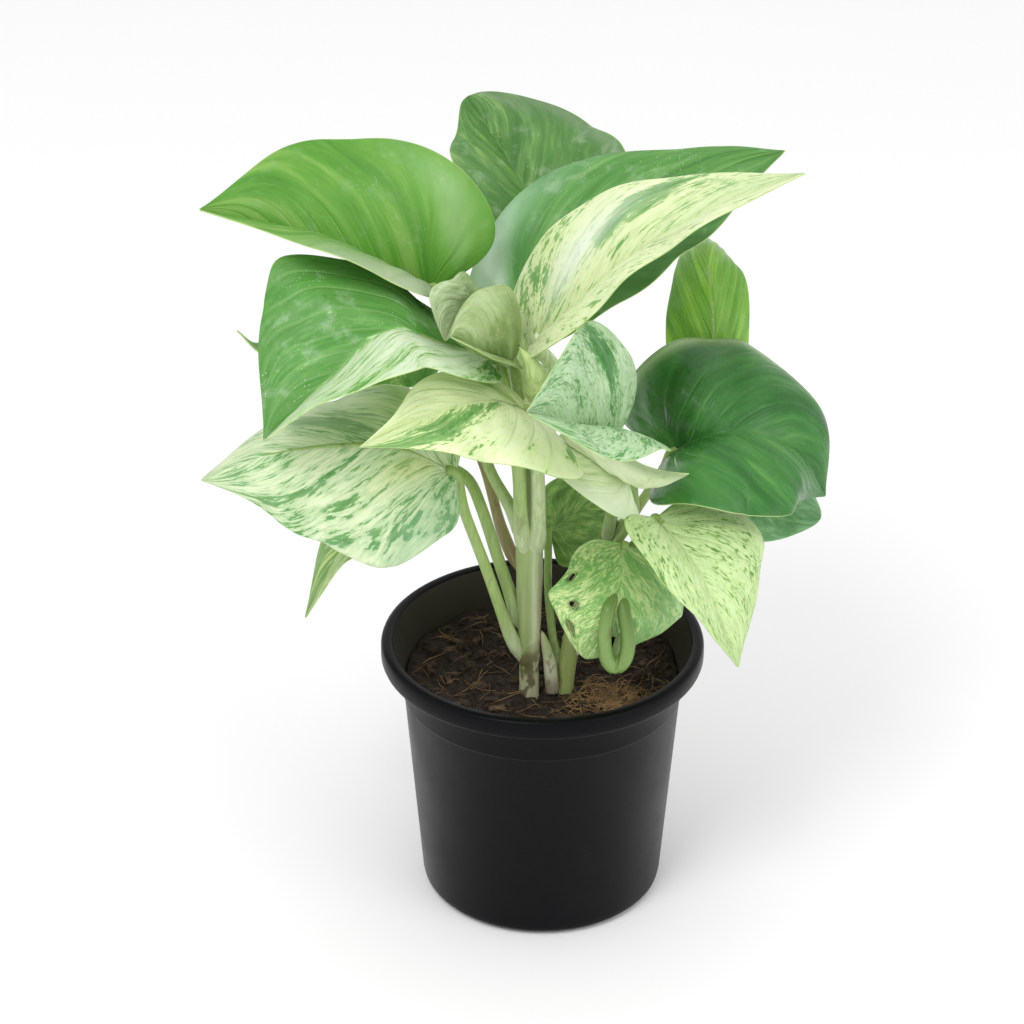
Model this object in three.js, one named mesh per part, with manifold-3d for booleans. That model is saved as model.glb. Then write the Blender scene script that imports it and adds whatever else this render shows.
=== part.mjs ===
import * as THREE from 'three';
import { mergeVertices } from 'three/addons/utils/BufferGeometryUtils.js';
import Module from 'manifold-3d';

// A marble-leaved pothos in a nursery pot. Millimetres, +Z up, front towards -Y.
// The origin is the centre of the pot's underside, on the surface that the pot stands on.

const wasm = await Module();
wasm.setup();

// Clearance kept between neighbouring pieces
const gap = 0.3;

// Pot
const potHeight = 104;
const potLipRadius = 60;
const potLipHeight = 8;
const potLipRounding = 1.5;
const potBodyTopRadius = 53.3;
const potStepHeight = 83;
const potStepRise = 1;
const potStepDepth = 0.5;
const potFootRadius = 45.5;
const potFootRounding = 5;
const potWall = 1.4;
const potBaseThickness = 2;
const potMouthRadius = 55.5;
const potMouthBevel = 1;
const potLipInnerDepth = 10;
const potSides = 40;
const footArcSteps = 4;
const drainHoleCount = 6;
const drainHoleRadius = 4;
const drainHoleCircle = 30;
const drainHoleSides = 12;

// Potting mix, with loose coir fibres and bark chips half sunk in its top
const mixTop = 89;
const mixFoot = 8;
const mixSides = 28;
const mixClearance = 0.9;
const mixRelief = 0.8;
const mixRings = [8, 16, 24, 32, 40, 46];
const fibres = {
  count: 22, radius: 0.55, length: [9, 21], field: [10, 44], bend: 2, rise: [0.9, 1.9], sink: 1.5,
};
const chips = { count: 8, length: [4, 8], width: [3, 5], height: 3, field: [8, 40], tilt: 0.25, rise: 0.2 };
const scatterSeed = 20;

// Stems
const stemSides = 12;
const stemSteps = 12;
const mainStemFoot = [-5, -16];
const mainStemBottom = 62;
const mainStemTop = 214;
const rightStemRadius = 3.5;
const rightStemPath = [
  [8, -14, 62],
  [8, -14, 89],
  [11, -11, 110],
  [20, -3, 136],
  [26, 3, 152],
];

// Curled sheath that hangs before the torn leaf, its two ends against the leaf's face
const sheathRadius = 2.2;
const sheathSides = 8;
const sheathSteps = 18;
const sheathPath = [
  [22.5, -40, 136],
  [21.5, -40.5, 127],
  [22.5, -41, 119],
  [26, -41, 115],
  [30, -40.5, 119],
  [30.5, -39.5, 127],
  [29.5, -38.3, 135],
];

// Rolled new leaf over the tip of the main stem: half-widths against height, and its lean
const spikeProfile = [
  [1.8, 207],
  [2.6, 214],
  [3.7, 221],
  [2.9, 229],
  [1, 236],
  [0.4, 242],
];
const spikePath = [
  [-5, -16, 207],
  [-3, -27, 214],
  [-3, -34, 226],
  [-9, -38, 242],
];
const spikeSides = 8;

// Leaves
const bladeThickness = 0.7;
const largeGrid = { rows: 12, columns: 4 };
const smallGrid = { rows: 9, columns: 3 };
const usualTaper = 1.1;
const widestPlace = 0.62;
const lobePlace = 0.1;
const lobeSweep = 1.5;
const rowCrowding = 1.3;
const steepRib = 0.8;
const searchStep = 0.0125;
const searchEnd = 0.96;
const stalkJoint = 0.05;
const stalkSides = 6;
const stalkSteps = 8;

// The rib from base to tip, points that each margin passes through, and the stalk from the stem.
const leaves = [
  {
    name: 'leaf_upper_left',
    rib: [[-38, -8, 248], [-69, -14, 266], [-92, -18, 276], [-117, -26, 287]],
    left: [[-50, -44, 268], [-78, -50, 284]],
    right: [[-27, 8, 286], [-64, 10, 298], [-97, -6, 296]],
    stalk: [[-7, -15, 148], [-11, -14, 164], [-20, -9, 181], [-28, -5, 211], [-38, -8, 248]],
    stalkRadius: 2.1,
    lobe: [5, 20],
    bulge: [0.1, 0.12],
    color: 0x6fb04e,
  },
  {
    name: 'leaf_top_back',
    rib: [[3, 50, 243], [-9, 66, 260], [-19, 86, 269], [-28, 98, 279]],
    left: [[-33, 58, 269], [-31, 88, 275]],
    right: [[30, 60, 273], [17, 76, 277], [-5, 92, 281]],
    stalk: [[-5, -14, 197], [-4, 12, 206], [1, 38, 228], [3, 50, 243]],
    stalkRadius: 2.0,
    lobe: [4, 12],
    taper: 0.6,
    bulge: [0.06, 0.06],
    color: 0x4b8a3c,
  },
  {
    name: 'leaf_upper_right_green',
    rib: [[-13, 6, 232], [8, 12, 256], [37, 16, 272], [63, 12, 286], [83, 4, 296]],
    left: [[-15, 28, 263], [0, 36, 273], [20, 38, 280], [51, 28, 287]],
    right: [[22, -6, 240], [44, -8, 259], [65, -4, 278]],
    stalk: [[-6, -16, 181], [-11, -10, 195], [-12, -4, 210], [-11, 3, 220], [-13, 6, 232]],
    stalkRadius: 2.1,
    lobe: [16, 10],
    bulge: [0.1, 0.06],
    color: 0x4c8f45,
  },
  {
    name: 'leaf_upper_right_cream',
    rib: [[-5, -20, 233], [15, -31, 258], [34, -40, 280], [59, -53, 299], [83, -68, 318]],
    left: [[0, -8, 270], [19, -14, 288], [43, -28, 300], [65, -48, 310]],
    right: [[15, -60, 264], [32, -68, 285], [54, -74, 305]],
    stalk: [[1, -15, 189], [0, -14, 200], [2, -12, 211], [3, -12, 221], [-3, -17, 232]],
    stalkRadius: 3.6,
    lobe: [12, 2],
    bulge: [0.12, 0.1],
    color: 0xd3e8b0,
  },
  {
    name: 'leaf_left_green',
    rib: [[-17, -28, 231], [-36, -42, 245], [-53, -52, 254], [-72, -64, 242], [-94, -76, 225]],
    left: [[-37, -66, 247], [-58, -84, 249], [-78, -84, 241]],
    right: [[-37, -14, 243], [-64, -20, 265], [-93, -36, 270], [-95, -62, 241]],
    stalk: [[-6, -18, 147], [-8, -20, 162], [-9, -24, 187], [-13, -23, 214], [-17, -28, 231]],
    stalkRadius: 2.6,
    lobe: [4, 8],
    bulge: [0.04, 0.1],
    color: 0x4f9a3f,
  },
  {
    name: 'leaf_lower_left',
    rib: [[-31, -36, 191], [-51, -46, 207], [-73, -54, 212], [-96, -60, 211], [-117, -64, 204]],
    left: [[-35, -50, 175], [-51, -58, 167], [-74, -64, 178], [-94, -66, 192]],
    right: [[-44, -16, 213], [-75, -16, 209], [-98, -36, 209]],
    stalk: [[-7, -17, 102], [-13, -19, 119], [-21, -24, 148], [-28, -30, 173], [-31, -36, 191]],
    stalkRadius: 2.2,
    lobe: [14, 10],
    bulge: [0.1, 0.08],
    color: 0xa9c596,
  },
  {
    name: 'leaf_hanging',
    rib: [[-35, 0, 175], [-52, 8, 166], [-73, 12, 136], [-89, 14, 103]],
    left: [[-53, -20, 156], [-73, -8, 138]],
    right: [[-72, 34, 143], [-84, 30, 123]],
    stalk: [[-7, -13, 113], [-16, -14, 144], [-22, -12, 164], [-27, -6, 173], [-35, 0, 175]],
    stalkRadius: 2.4,
    lobe: [6, 6],
    bulge: [0.05, 0.05],
    color: 0x9cc070,
  },
  {
    name: 'leaf_front_cream',
    rib: [[-5, -32, 213], [-19, -48, 226], [-37, -64, 230], [-62, -84, 227]],
    left: [[9, -67, 206], [-15, -87, 222], [-38, -92, 230]],
    right: [[-28, -42, 235], [-44, -60, 238], [-53, -76, 232]],
    stalk: [[-3, -18, 147], [-2, -20, 162], [-2, -24, 179], [-3, -28, 201], [-5, -32, 213]],
    stalkRadius: 2.7,
    lobe: [17, 3],
    bulge: [0.12, 0.1],
    color: 0xd0e6a8,
  },
  {
    name: 'leaf_centre_speckled',
    rib: [[25, -34, 205], [15, -52, 217], [5, -74, 232], [-7, -98, 247]],
    left: [[41, -62, 215], [19, -88, 226], [4, -100, 241]],
    right: [[28, -34, 238], [14, -46, 255], [3, -78, 255]],
    stalk: [[23, 0, 142], [25, -10, 169], [25, -34, 205]],
    stalkRadius: 2.0,
    lobe: [10, 10],
    bulge: [0.1, 0.1],
    color: 0xb5d9a6,
  },
  {
    name: 'leaf_folded_pale',
    rib: [[30, -26, 184], [22, -26, 189], [14, -20, 192], [6, -12, 193]],
    left: [[25, -40, 177], [17, -42, 183]],
    right: [[45, -48, 198], [31, -48, 204], [18, -34, 201]],
    stalk: [[21, -2, 136], [32, -12, 160], [32, -22, 177], [30, -26, 184]],
    stalkRadius: 1.6,
    lobe: [10, 7],
    taper: 0.6,
    bulge: [0.1, 0.15],
    grid: smallGrid,
    color: 0xcfe8b8,
  },
  {
    name: 'leaf_right_speckled',
    rib: [[39, -38, 175], [51, -52, 166], [59, -60, 153], [68, -62, 128]],
    left: [[78, -32, 160], [73, -52, 145]],
    right: [[28, -56, 179], [37, -68, 172], [54, -68, 150]],
    stalk: [[21, -4, 129], [33, -4, 145], [38, -20, 162], [39, -38, 175]],
    stalkRadius: 1.8,
    lobe: [8, 8],
    bulge: [0.1, 0.08],
    color: 0xb8dd80,
  },
  {
    name: 'leaf_right_dark',
    rib: [[46, 0, 181], [59, -11, 193], [73, -12, 195], [92, -8, 185], [102, -2, 164]],
    left: [[33, 14, 206], [63, 26, 214], [88, 18, 204]],
    right: [[47, -42, 183], [68, -42, 179], [89, -24, 172]],
    stalk: [[25, 1, 142], [35, -4, 162], [43, -2, 175], [46, 0, 181]],
    stalkRadius: 2.0,
    lobe: [26, 5],
    bulge: [0.14, 0.1],
    color: 0x2f7a35,
  },
  {
    name: 'leaf_right_upright',
    rib: [[62, 30, 183], [62, 36, 217], [60, 52, 234], [60, 70, 234], [61, 90, 223]],
    left: [[45, 42, 214], [50, 60, 228]],
    right: [[76, 42, 210], [71, 60, 228]],
    stalk: [[25, 2, 145], [43, 18, 160], [62, 30, 183]],
    stalkRadius: 1.7,
    lobe: [4, 4],
    taper: 0.7,
    bulge: [0.08, 0.08],
    color: 0x6aa83c,
  },
  {
    name: 'leaf_right_under',
    rib: [[66, 16, 165], [84, 14, 154], [102, 8, 149]],
    left: [[99, 30, 151]],
    right: [[83, 4, 142]],
    stalk: [[16, -8, 119], [40, 18, 138], [66, 16, 165]],
    stalkRadius: 1.6,
    lobe: [4, 4],
    taper: 0.7,
    bulge: [0.1, 0.1],
    grid: smallGrid,
    color: 0x2c6b34,
  },
  {
    name: 'leaf_low_torn',
    rib: [[29, -16, 152], [27, -32, 142], [23, -37, 131], [15, -36, 116]],
    left: [[51, -12, 127]],
    right: [[9, -28, 150], [3, -35, 138]],
    stalk: [[11, -13, 102], [21, -15, 123], [29, -16, 152]],
    stalkRadius: 1.5,
    lobe: [8, 2],
    taper: 0.7,
    bulge: [0.12, 0.1],
    grid: smallGrid,
    color: 0x8dbf74,
  },
  {
    name: 'leaf_inner_shaded',
    rib: [[2, 10, 143], [12, 20, 145], [22, 28, 146], [31, 34, 146]],
    left: [[9, 26, 158]],
    right: [[18, 12, 130]],
    stalk: [[8, -13, 92], [4, -10, 108], [2, -5, 126], [2, 3, 136], [2, 10, 143]],
    stalkRadius: 1.6,
    lobe: [4, 6],
    taper: 0.7,
    bulge: [0.08, 0.08],
    grid: smallGrid,
    color: 0x3f5f2c,
  },
  {
    name: 'leaf_young_small',
    rib: [[-24, -18, 253], [-29, -33, 254], [-34, -47, 248]],
    left: [[-28, -37, 250]],
    right: [[-31, -28, 263], [-39, -43, 260]],
    stalk: [[-6, -15, 201], [-8, -12, 207], [-16, -6, 225], [-20, -10, 241], [-24, -18, 253]],
    stalkRadius: 1.3,
    lobe: [0, 2],
    taper: 0.8,
    bulge: [0.1, 0.1],
    grid: smallGrid,
    color: 0x9fbf8c,
  },
  {
    name: 'leaf_young_cupped',
    rib: [[-11, -27, 230], [-15, -34, 235], [-23, -46, 244], [-32, -58, 255]],
    left: [[-25, -56, 250]],
    right: [[-17, -30, 261], [-27, -45, 262]],
    stalk: [[-8, -17, 203], [-9, -17, 212], [-10, -21, 222], [-11, -27, 230]],
    stalkRadius: 2.2,
    lobe: [0, 1],
    taper: 0.6,
    bulge: [0.1, 0.15],
    grid: smallGrid,
    color: 0xa8c48c,
  },
  {
    name: 'leaf_left_behind',
    rib: [[-37, 4, 222], [-61, -4, 232], [-81, -20, 235], [-97, -32, 238], [-105, -38, 248]],
    left: [[-53, -30, 223], [-77, -40, 232]],
    right: [[-55, 20, 236], [-83, 6, 239]],
    stalk: [[-8, -14, 138], [-15, -5, 152], [-21, 2, 173], [-28, 4, 192], [-37, 4, 222]],
    stalkRadius: 2.0,
    lobe: [6, 6],
    taper: 1.8,
    bulge: [0.08, 0.08],
    grid: smallGrid,
    color: 0x8cae74,
  },
];

// ---------------------------------------------------------------------------------------------
// Solids

const vector = ([x, y, z]) => new THREE.Vector3(x, y, z);

const smoothPath = (points) => new THREE.CatmullRomCurve3(points.map(vector), false, 'catmullrom');

// A closed geometry as a solid, its doubled corners merged and its flat triangles dropped.
function toSolid(geometry) {
  const bare = geometry.clone();
  bare.deleteAttribute('normal');
  bare.deleteAttribute('uv');
  const merged = mergeVertices(bare, 1e-4);
  const corners = merged.index.array;
  const kept = [];
  for (let i = 0; i < corners.length; i += 3) {
    const [a, b, c] = [corners[i], corners[i + 1], corners[i + 2]];
    if (a !== b && b !== c && c !== a) kept.push(a, b, c);
  }
  return new wasm.Manifold(new wasm.Mesh({
    numProp: 3,
    vertProperties: Float32Array.from(merged.attributes.position.array),
    triVerts: Uint32Array.from(kept),
  }));
}

function toGeometry(solid) {
  const mesh = solid.getMesh();
  const geometry = new THREE.BufferGeometry();
  geometry.setAttribute('position', new THREE.BufferAttribute(mesh.vertProperties, 3));
  geometry.setIndex(new THREE.BufferAttribute(mesh.triVerts, 1));
  geometry.computeVertexNormals();
  return geometry;
}

// A round section of a given radius drawn along a smooth path.
function tube(points, radius, sides, steps) {
  const section = new THREE.Shape();
  for (let i = 0; i < sides; i += 1) {
    const turn = (i / sides) * 2 * Math.PI;
    const corner = [radius * Math.cos(turn), radius * Math.sin(turn)];
    if (i === 0) section.moveTo(...corner);
    else section.lineTo(...corner);
  }
  section.closePath();
  return toSolid(new THREE.ExtrudeGeometry(section, {
    steps,
    extrudePath: smoothPath(points),
    bevelEnabled: false,
  }));
}

// A profile of [radius, height] points turned round the vertical axis.
function turned(profile, sides) {
  const points = profile.map(([radius, height]) => new THREE.Vector2(radius, height));
  return new THREE.LatheGeometry(points, sides).rotateX(Math.PI / 2);
}

// The same draw of numbers between 0 and 1 each time.
function seededDraw(seed) {
  let state = seed;
  return () => {
    state = (state * 16807) % 2147483647;
    return state / 2147483647;
  };
}

// ---------------------------------------------------------------------------------------------
// Pot

function footArc(radius, floor, rounding) {
  const points = [];
  for (let i = 0; i <= footArcSteps; i += 1) {
    const turn = (i / footArcSteps) * (Math.PI / 2);
    points.push([
      radius - rounding + rounding * Math.sin(turn),
      floor + rounding - rounding * Math.cos(turn),
    ]);
  }
  return points;
}

// Outside radius of the tapered wall, without the step that is drawn in below the lip.
const wallRadiusAt = (height) => THREE.MathUtils.mapLinear(
  height, 0, potHeight - potLipHeight, potFootRadius, potBodyTopRadius,
);

function potSolid() {
  const lipBottom = potHeight - potLipHeight;
  const stepBottom = potStepHeight - potStepRise;
  const lowerTopRadius = wallRadiusAt(stepBottom) - potStepDepth;
  const innerTop = potHeight - potLipInnerDepth;
  const outside = [
    [0, 0],
    ...footArc(potFootRadius, 0, potFootRounding),
    [lowerTopRadius, stepBottom],
    [wallRadiusAt(potStepHeight), potStepHeight],
    [potBodyTopRadius, lipBottom],
    [potLipRadius - potLipRounding, lipBottom],
    [potLipRadius, lipBottom + potLipRounding],
    [potLipRadius, potHeight - potLipRounding],
    [potLipRadius - potLipRounding, potHeight],
  ];
  const inside = [
    [potMouthRadius + potMouthBevel, potHeight],
    [potMouthRadius, potHeight - potMouthBevel],
    [wallRadiusAt(innerTop) - potWall, innerTop],
    [lowerTopRadius - potWall, stepBottom],
    ...footArc(potFootRadius - potWall, potBaseThickness, potFootRounding).reverse(),
    [0, potBaseThickness],
  ];
  let pot = toSolid(turned([...outside, ...inside], potSides));
  const depth = 4 * potBaseThickness;
  for (let i = 0; i < drainHoleCount; i += 1) {
    const turn = (i / drainHoleCount) * 2 * Math.PI;
    const hole = new THREE.CylinderGeometry(drainHoleRadius, drainHoleRadius, depth, drainHoleSides);
    hole.rotateX(Math.PI / 2);
    hole.translate(drainHoleCircle * Math.cos(turn), drainHoleCircle * Math.sin(turn), 0);
    pot = pot.subtract(toSolid(hole));
  }
  return pot;
}

// ---------------------------------------------------------------------------------------------
// Stems

// Half-widths of the main stem against height: pale foot, ring, sheathed stretch, ring, tip.
const mainStemProfile = [
  [3.6, mainStemBottom],
  [3.7, 92],
  [3.6, 102],
  [4.2, 105],
  [3.9, 109],
  [4.4, 125],
  [4.9, 140],
  [5.3, 149],
  [4.9, 153],
  [4.4, 170],
  [3.6, 190],
  [2.4, 206],
  [1.2, mainStemTop],
];

function mainStemSolid(extra) {
  const profile = mainStemProfile.map(([radius, height]) => [radius + extra, height]);
  profile.unshift([0, mainStemBottom - extra]);
  profile.push([0, mainStemTop + extra]);
  const stem = turned(profile, stemSides);
  stem.translate(mainStemFoot[0], mainStemFoot[1], 0);
  return toSolid(stem);
}

const rightStemSolid = (extra) => tube(rightStemPath, rightStemRadius + extra, stemSides, stemSteps);

function spikeSolid(stems) {
  const [bottom, top] = [spikePath[0][2], spikePath[spikePath.length - 1][2]];
  const profile = [[0, bottom], ...spikeProfile, [0, top]];
  const spike = turned(profile, spikeSides);
  const path = smoothPath(spikePath);
  const place = spike.attributes.position;
  for (let i = 0; i < place.count; i += 1) {
    const lean = path.getPoint((place.getZ(i) - bottom) / (top - bottom));
    place.setXY(i, place.getX(i) + lean.x, place.getY(i) + lean.y);
  }
  let solid = toSolid(spike);
  for (const stem of stems) solid = solid.subtract(stem);
  return solid;
}

function sheathSolid(stems) {
  let sheath = tube(sheathPath, sheathRadius, sheathSides, sheathSteps);
  for (const stem of stems) sheath = sheath.subtract(stem);
  return sheath;
}

// ---------------------------------------------------------------------------------------------
// Leaves

// Half-width of a blade along its rib, 0 at the base and the tip, 1 where it is widest.
// A low taper makes a blunt leaf, a high one a pointed leaf.
const widthAt = (p, taper) => Math.max(0, Math.sin(Math.PI * p ** widestPlace)) ** taper;

// How far the rounded lobes beside the stalk reach back, 1 at most.
const lobeAt = (p) => (p / lobePlace) * Math.exp(1 - p / lobePlace);

// Directions round the rib: along it, and two at right angles, carried from the base.
function ribFrame(rib, p) {
  const start = rib.getTangentAt(0);
  const guide = Math.abs(start.z) < steepRib ? vector([0, 0, 1]) : vector([0, 1, 0]);
  const along = rib.getTangentAt(p);
  const turn = new THREE.Quaternion().setFromUnitVectors(start, along);
  const side = start.clone().cross(guide).normalize().applyQuaternion(turn);
  return { origin: rib.getPointAt(p), along, side, over: along.clone().cross(side) };
}

// Each margin point as a place on the rib, an angle round it and a full half-width there.
function marginStations(rib, margin, lobe, taper) {
  const stations = [];
  for (const point of margin.map(vector)) {
    let best = null;
    for (let p = searchStep; p < searchEnd; p += searchStep) {
      const frame = ribFrame(rib, p);
      const away = point.clone().sub(frame.origin);
      const miss = Math.abs(away.dot(frame.along) + lobe * lobeAt(p)) + 0.1 * away.length();
      if (best === null || miss < best.miss) best = { p, miss, frame, away };
    }
    const { p, frame, away } = best;
    const [across, rise] = [away.dot(frame.side), away.dot(frame.over)];
    let angle = Math.atan2(rise, across);
    const before = stations.length ? stations[stations.length - 1].angle : angle;
    angle += 2 * Math.PI * Math.round((before - angle) / (2 * Math.PI));
    stations.push({ p, angle, reach: Math.hypot(across, rise) / widthAt(p, taper) });
  }
  return stations;
}

// Angle and full half-width of one half at any place on the rib, blended between its stations.
function steer(stations, p) {
  const next = stations.findIndex((station) => station.p > p);
  if (next === 0) return stations[0];
  if (next < 0) return stations[stations.length - 1];
  const [a, b] = [stations[next - 1], stations[next]];
  const t = THREE.MathUtils.smoothstep(p, a.p, b.p);
  return {
    angle: THREE.MathUtils.lerp(a.angle, b.angle, t),
    reach: THREE.MathUtils.lerp(a.reach, b.reach, t),
  };
}

// A point of the blade: p along the rib, v from the rib to the margin, hand 1 on the left half.
function bladePoint(leaf, rib, stations, hand, p, v) {
  const { origin, along, side, over } = ribFrame(rib, p);
  const { angle, reach } = steer(stations, p);
  const out = side.multiplyScalar(Math.cos(angle)).addScaledVector(over, Math.sin(angle));
  const upward = along.clone().cross(out).multiplyScalar(hand);
  const taper = leaf.taper ?? usualTaper;
  const width = reach * widthAt(p, taper);
  const half = hand > 0 ? 0 : 1;
  const swell = leaf.bulge[half] * width * 4 * v * (1 - v);
  return origin
    .addScaledVector(out, width * v)
    .addScaledVector(along, -leaf.lobe[half] * lobeAt(p) * v ** lobeSweep)
    .addScaledVector(upward, swell);
}

// The blade as a thin closed sheet, split alike on both faces.
function bladeSolid(leaf, rib) {
  const taper = leaf.taper ?? usualTaper;
  const halves = {
    left: marginStations(rib, leaf.left, leaf.lobe[0], taper),
    right: marginStations(rib, leaf.right, leaf.lobe[1], taper),
  };
  const { rows, columns } = leaf.grid ?? largeGrid;
  const across = 2 * columns + 1;
  const inner = rows - 1;
  const index = (row, column) => {
    if (row === 0) return 0;
    if (row === rows) return 1;
    return 2 + (row - 1) * across + column;
  };
  const count = 2 + inner * across;
  const positions = new Float32Array(3 * count);
  for (let row = 0; row <= rows; row += 1) {
    const p = (row / rows) ** rowCrowding;
    for (let column = 0; column < across; column += 1) {
      const v = (column - columns) / columns;
      const hand = v < 0 ? 1 : -1;
      const stations = hand > 0 ? halves.left : halves.right;
      const point = bladePoint(leaf, rib, stations, hand, p, Math.abs(v));
      point.toArray(positions, 3 * index(row, column));
    }
  }
  const faces = [];
  for (let row = 0; row < rows; row += 1) {
    for (let column = 0; column < across - 1; column += 1) {
      const [a, b] = [index(row, column), index(row, column + 1)];
      const [c, d] = [index(row + 1, column + 1), index(row + 1, column)];
      if (a !== b) faces.push([a, b, c]);
      if (c !== d) faces.push([a, c, d]);
    }
  }
  const middle = new THREE.BufferGeometry();
  middle.setAttribute('position', new THREE.BufferAttribute(positions, 3));
  middle.setIndex(faces.flat());
  middle.computeVertexNormals();
  const normals = middle.attributes.normal.array;
  const shift = (half) => positions.map((value, i) => value + half * normals[i]);
  const sheet = [...shift(bladeThickness / 2), ...shift(-bladeThickness / 2)];
  const triangles = [];
  for (const [a, b, c] of faces) {
    triangles.push(a, b, c, a + count, c + count, b + count);
  }
  const rim = [];
  for (let row = 0; row < rows; row += 1) rim.push(index(row, 0));
  for (let row = rows; row > 0; row -= 1) rim.push(index(row, across - 1));
  rim.forEach((a, i) => {
    const b = rim[(i + 1) % rim.length];
    triangles.push(a, b, b + count, a, b + count, a + count);
  });
  const shell = new THREE.BufferGeometry();
  shell.setAttribute('position', new THREE.BufferAttribute(Float32Array.from(sheet), 3));
  shell.setIndex(triangles);
  return facingOut(shell);
}

// The solid of a closed shell, turned if its faces pointed inwards.
function facingOut(shell) {
  const solid = toSolid(shell);
  if (solid.volume() > 0) return solid;
  const corners = shell.index.array;
  for (let i = 0; i < corners.length; i += 3) {
    [corners[i], corners[i + 1]] = [corners[i + 1], corners[i]];
  }
  return toSolid(shell);
}

// Blade and stalk in one piece, its lower end cut clear of the stem that carries it.
function leafSolid(leaf, stems) {
  const rib = smoothPath(leaf.rib);
  const blade = bladeSolid(leaf, rib);
  const joint = ribFrame(rib, stalkJoint).origin.toArray();
  let piece = blade.add(tube([...leaf.stalk, joint], leaf.stalkRadius, stalkSides, stalkSteps));
  for (const stem of stems) piece = piece.subtract(stem);
  return piece;
}

// ---------------------------------------------------------------------------------------------
// Potting mix

const between = ([low, high], t) => low + (high - low) * t;

// Height of the mix over its level top: three crossing waves.
const moundAt = (x, y) => mixRelief * (
  Math.sin(x * 0.21 + 0.7) * Math.cos(y * 0.17)
  + 0.6 * Math.sin(x * 0.43 + y * 0.38)
  + 0.4 * Math.cos(x * 0.61 - y * 0.52 + 1.3)
);

function mixBody() {
  const floor = potBaseThickness + gap;
  const clear = potWall + mixClearance;
  const radiusAt = (height) => wallRadiusAt(height) - potStepDepth * height / potStepHeight - clear;
  const rings = mixRings.slice().reverse();
  const profile = [
    [0, floor],
    [potFootRadius - clear - potFootRounding, floor],
    [radiusAt(mixFoot), mixFoot],
    [radiusAt(mixTop), mixTop],
    ...rings.map((radius) => [radius, mixTop]),
    [0, mixTop],
  ];
  const body = turned(profile, mixSides);
  const place = body.attributes.position;
  for (let i = 0; i < place.count; i += 1) {
    const [x, y, z] = [place.getX(i), place.getY(i), place.getZ(i)];
    if (z === mixTop && Math.hypot(x, y) <= rings[0] + gap) place.setZ(i, z + moundAt(x, y));
  }
  return toSolid(body);
}

// A place on the mix between two radii, spread evenly over its top.
function scattered(draw, field) {
  const turn = draw() * 2 * Math.PI;
  const radius = between(field, Math.sqrt(draw()));
  return { turn, radius, x: radius * Math.cos(turn), y: radius * Math.sin(turn) };
}

// A coir fibre lying on the mix, its middle proud and both ends sunk in.
function fibreSolid(draw) {
  const { turn, radius, x, y } = scattered(draw, fibres.field);
  const length = between(fibres.length, draw());
  const heading = turn + between([1, 3], draw());
  const bend = between([-fibres.bend, fibres.bend], draw());
  const reach = Math.min(length / 2, mixRings[mixRings.length - 1] - radius + 1);
  const [across, deep] = [reach * Math.cos(heading), reach * Math.sin(heading)];
  const top = mixTop + moundAt(x, y);
  return tube([
    [x - across, y - deep, top - fibres.sink],
    [x + bend, y - bend, top + between(fibres.rise, draw())],
    [x + across, y + deep, top - fibres.sink],
  ], fibres.radius, 4, 4);
}

function chipSolid(draw) {
  const { x, y } = scattered(draw, chips.field);
  const [length, width] = [between(chips.length, draw()), between(chips.width, draw())];
  const chip = new THREE.BoxGeometry(length, width, chips.height);
  chip.rotateX(between([-chips.tilt, chips.tilt], draw()));
  chip.rotateZ(draw() * Math.PI);
  chip.translate(x, y, mixTop + moundAt(x, y) + chips.rise);
  return toSolid(chip);
}

function mixSolid(stems) {
  const draw = seededDraw(scatterSeed);
  let mix = mixBody();
  for (let i = 0; i < fibres.count; i += 1) mix = mix.add(fibreSolid(draw));
  for (let i = 0; i < chips.count; i += 1) mix = mix.add(chipSolid(draw));
  for (const stem of stems) mix = mix.subtract(stem);
  return mix;
}

// ---------------------------------------------------------------------------------------------
// The plant

const plant = new THREE.Group();

function addPiece(name, solid, color, roughness) {
  const material = new THREE.MeshStandardMaterial({ color, roughness, metalness: 0 });
  const mesh = new THREE.Mesh(toGeometry(solid), material);
  mesh.name = name;
  plant.add(mesh);
}

const stemRoom = [mainStemSolid(gap), rightStemSolid(gap)];
addPiece('pot', potSolid(), 0x232427, 0.42);
addPiece('potting_mix', mixSolid(stemRoom), 0x2b1d15, 0.95);
addPiece('stem_main', mainStemSolid(0), 0xa9c07a, 0.5);
addPiece('stem_right', rightStemSolid(0), 0x8fb060, 0.5);
addPiece('sheath_curled', sheathSolid(stemRoom), 0x9dbb72, 0.5);
addPiece('new_leaf_spike', spikeSolid(stemRoom), 0xb9cf8a, 0.4);
for (const leaf of leaves) addPiece(leaf.name, leafSolid(leaf, stemRoom), leaf.color, 0.4);

export default plant;
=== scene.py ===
"""A young marble-leaved pothos in a black nursery pot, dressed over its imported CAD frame.

Lengths in the tables are millimetres and are turned into metres where a path or profile is made.
A leaf is told by its rib from base to tip, points that each margin passes through and its stalk.
Left and right are as seen along the rib with the upper face up.
"""

import math
import random
from bisect import bisect_right

import bmesh
import bpy
from mathutils import Matrix, Vector, noise

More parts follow.
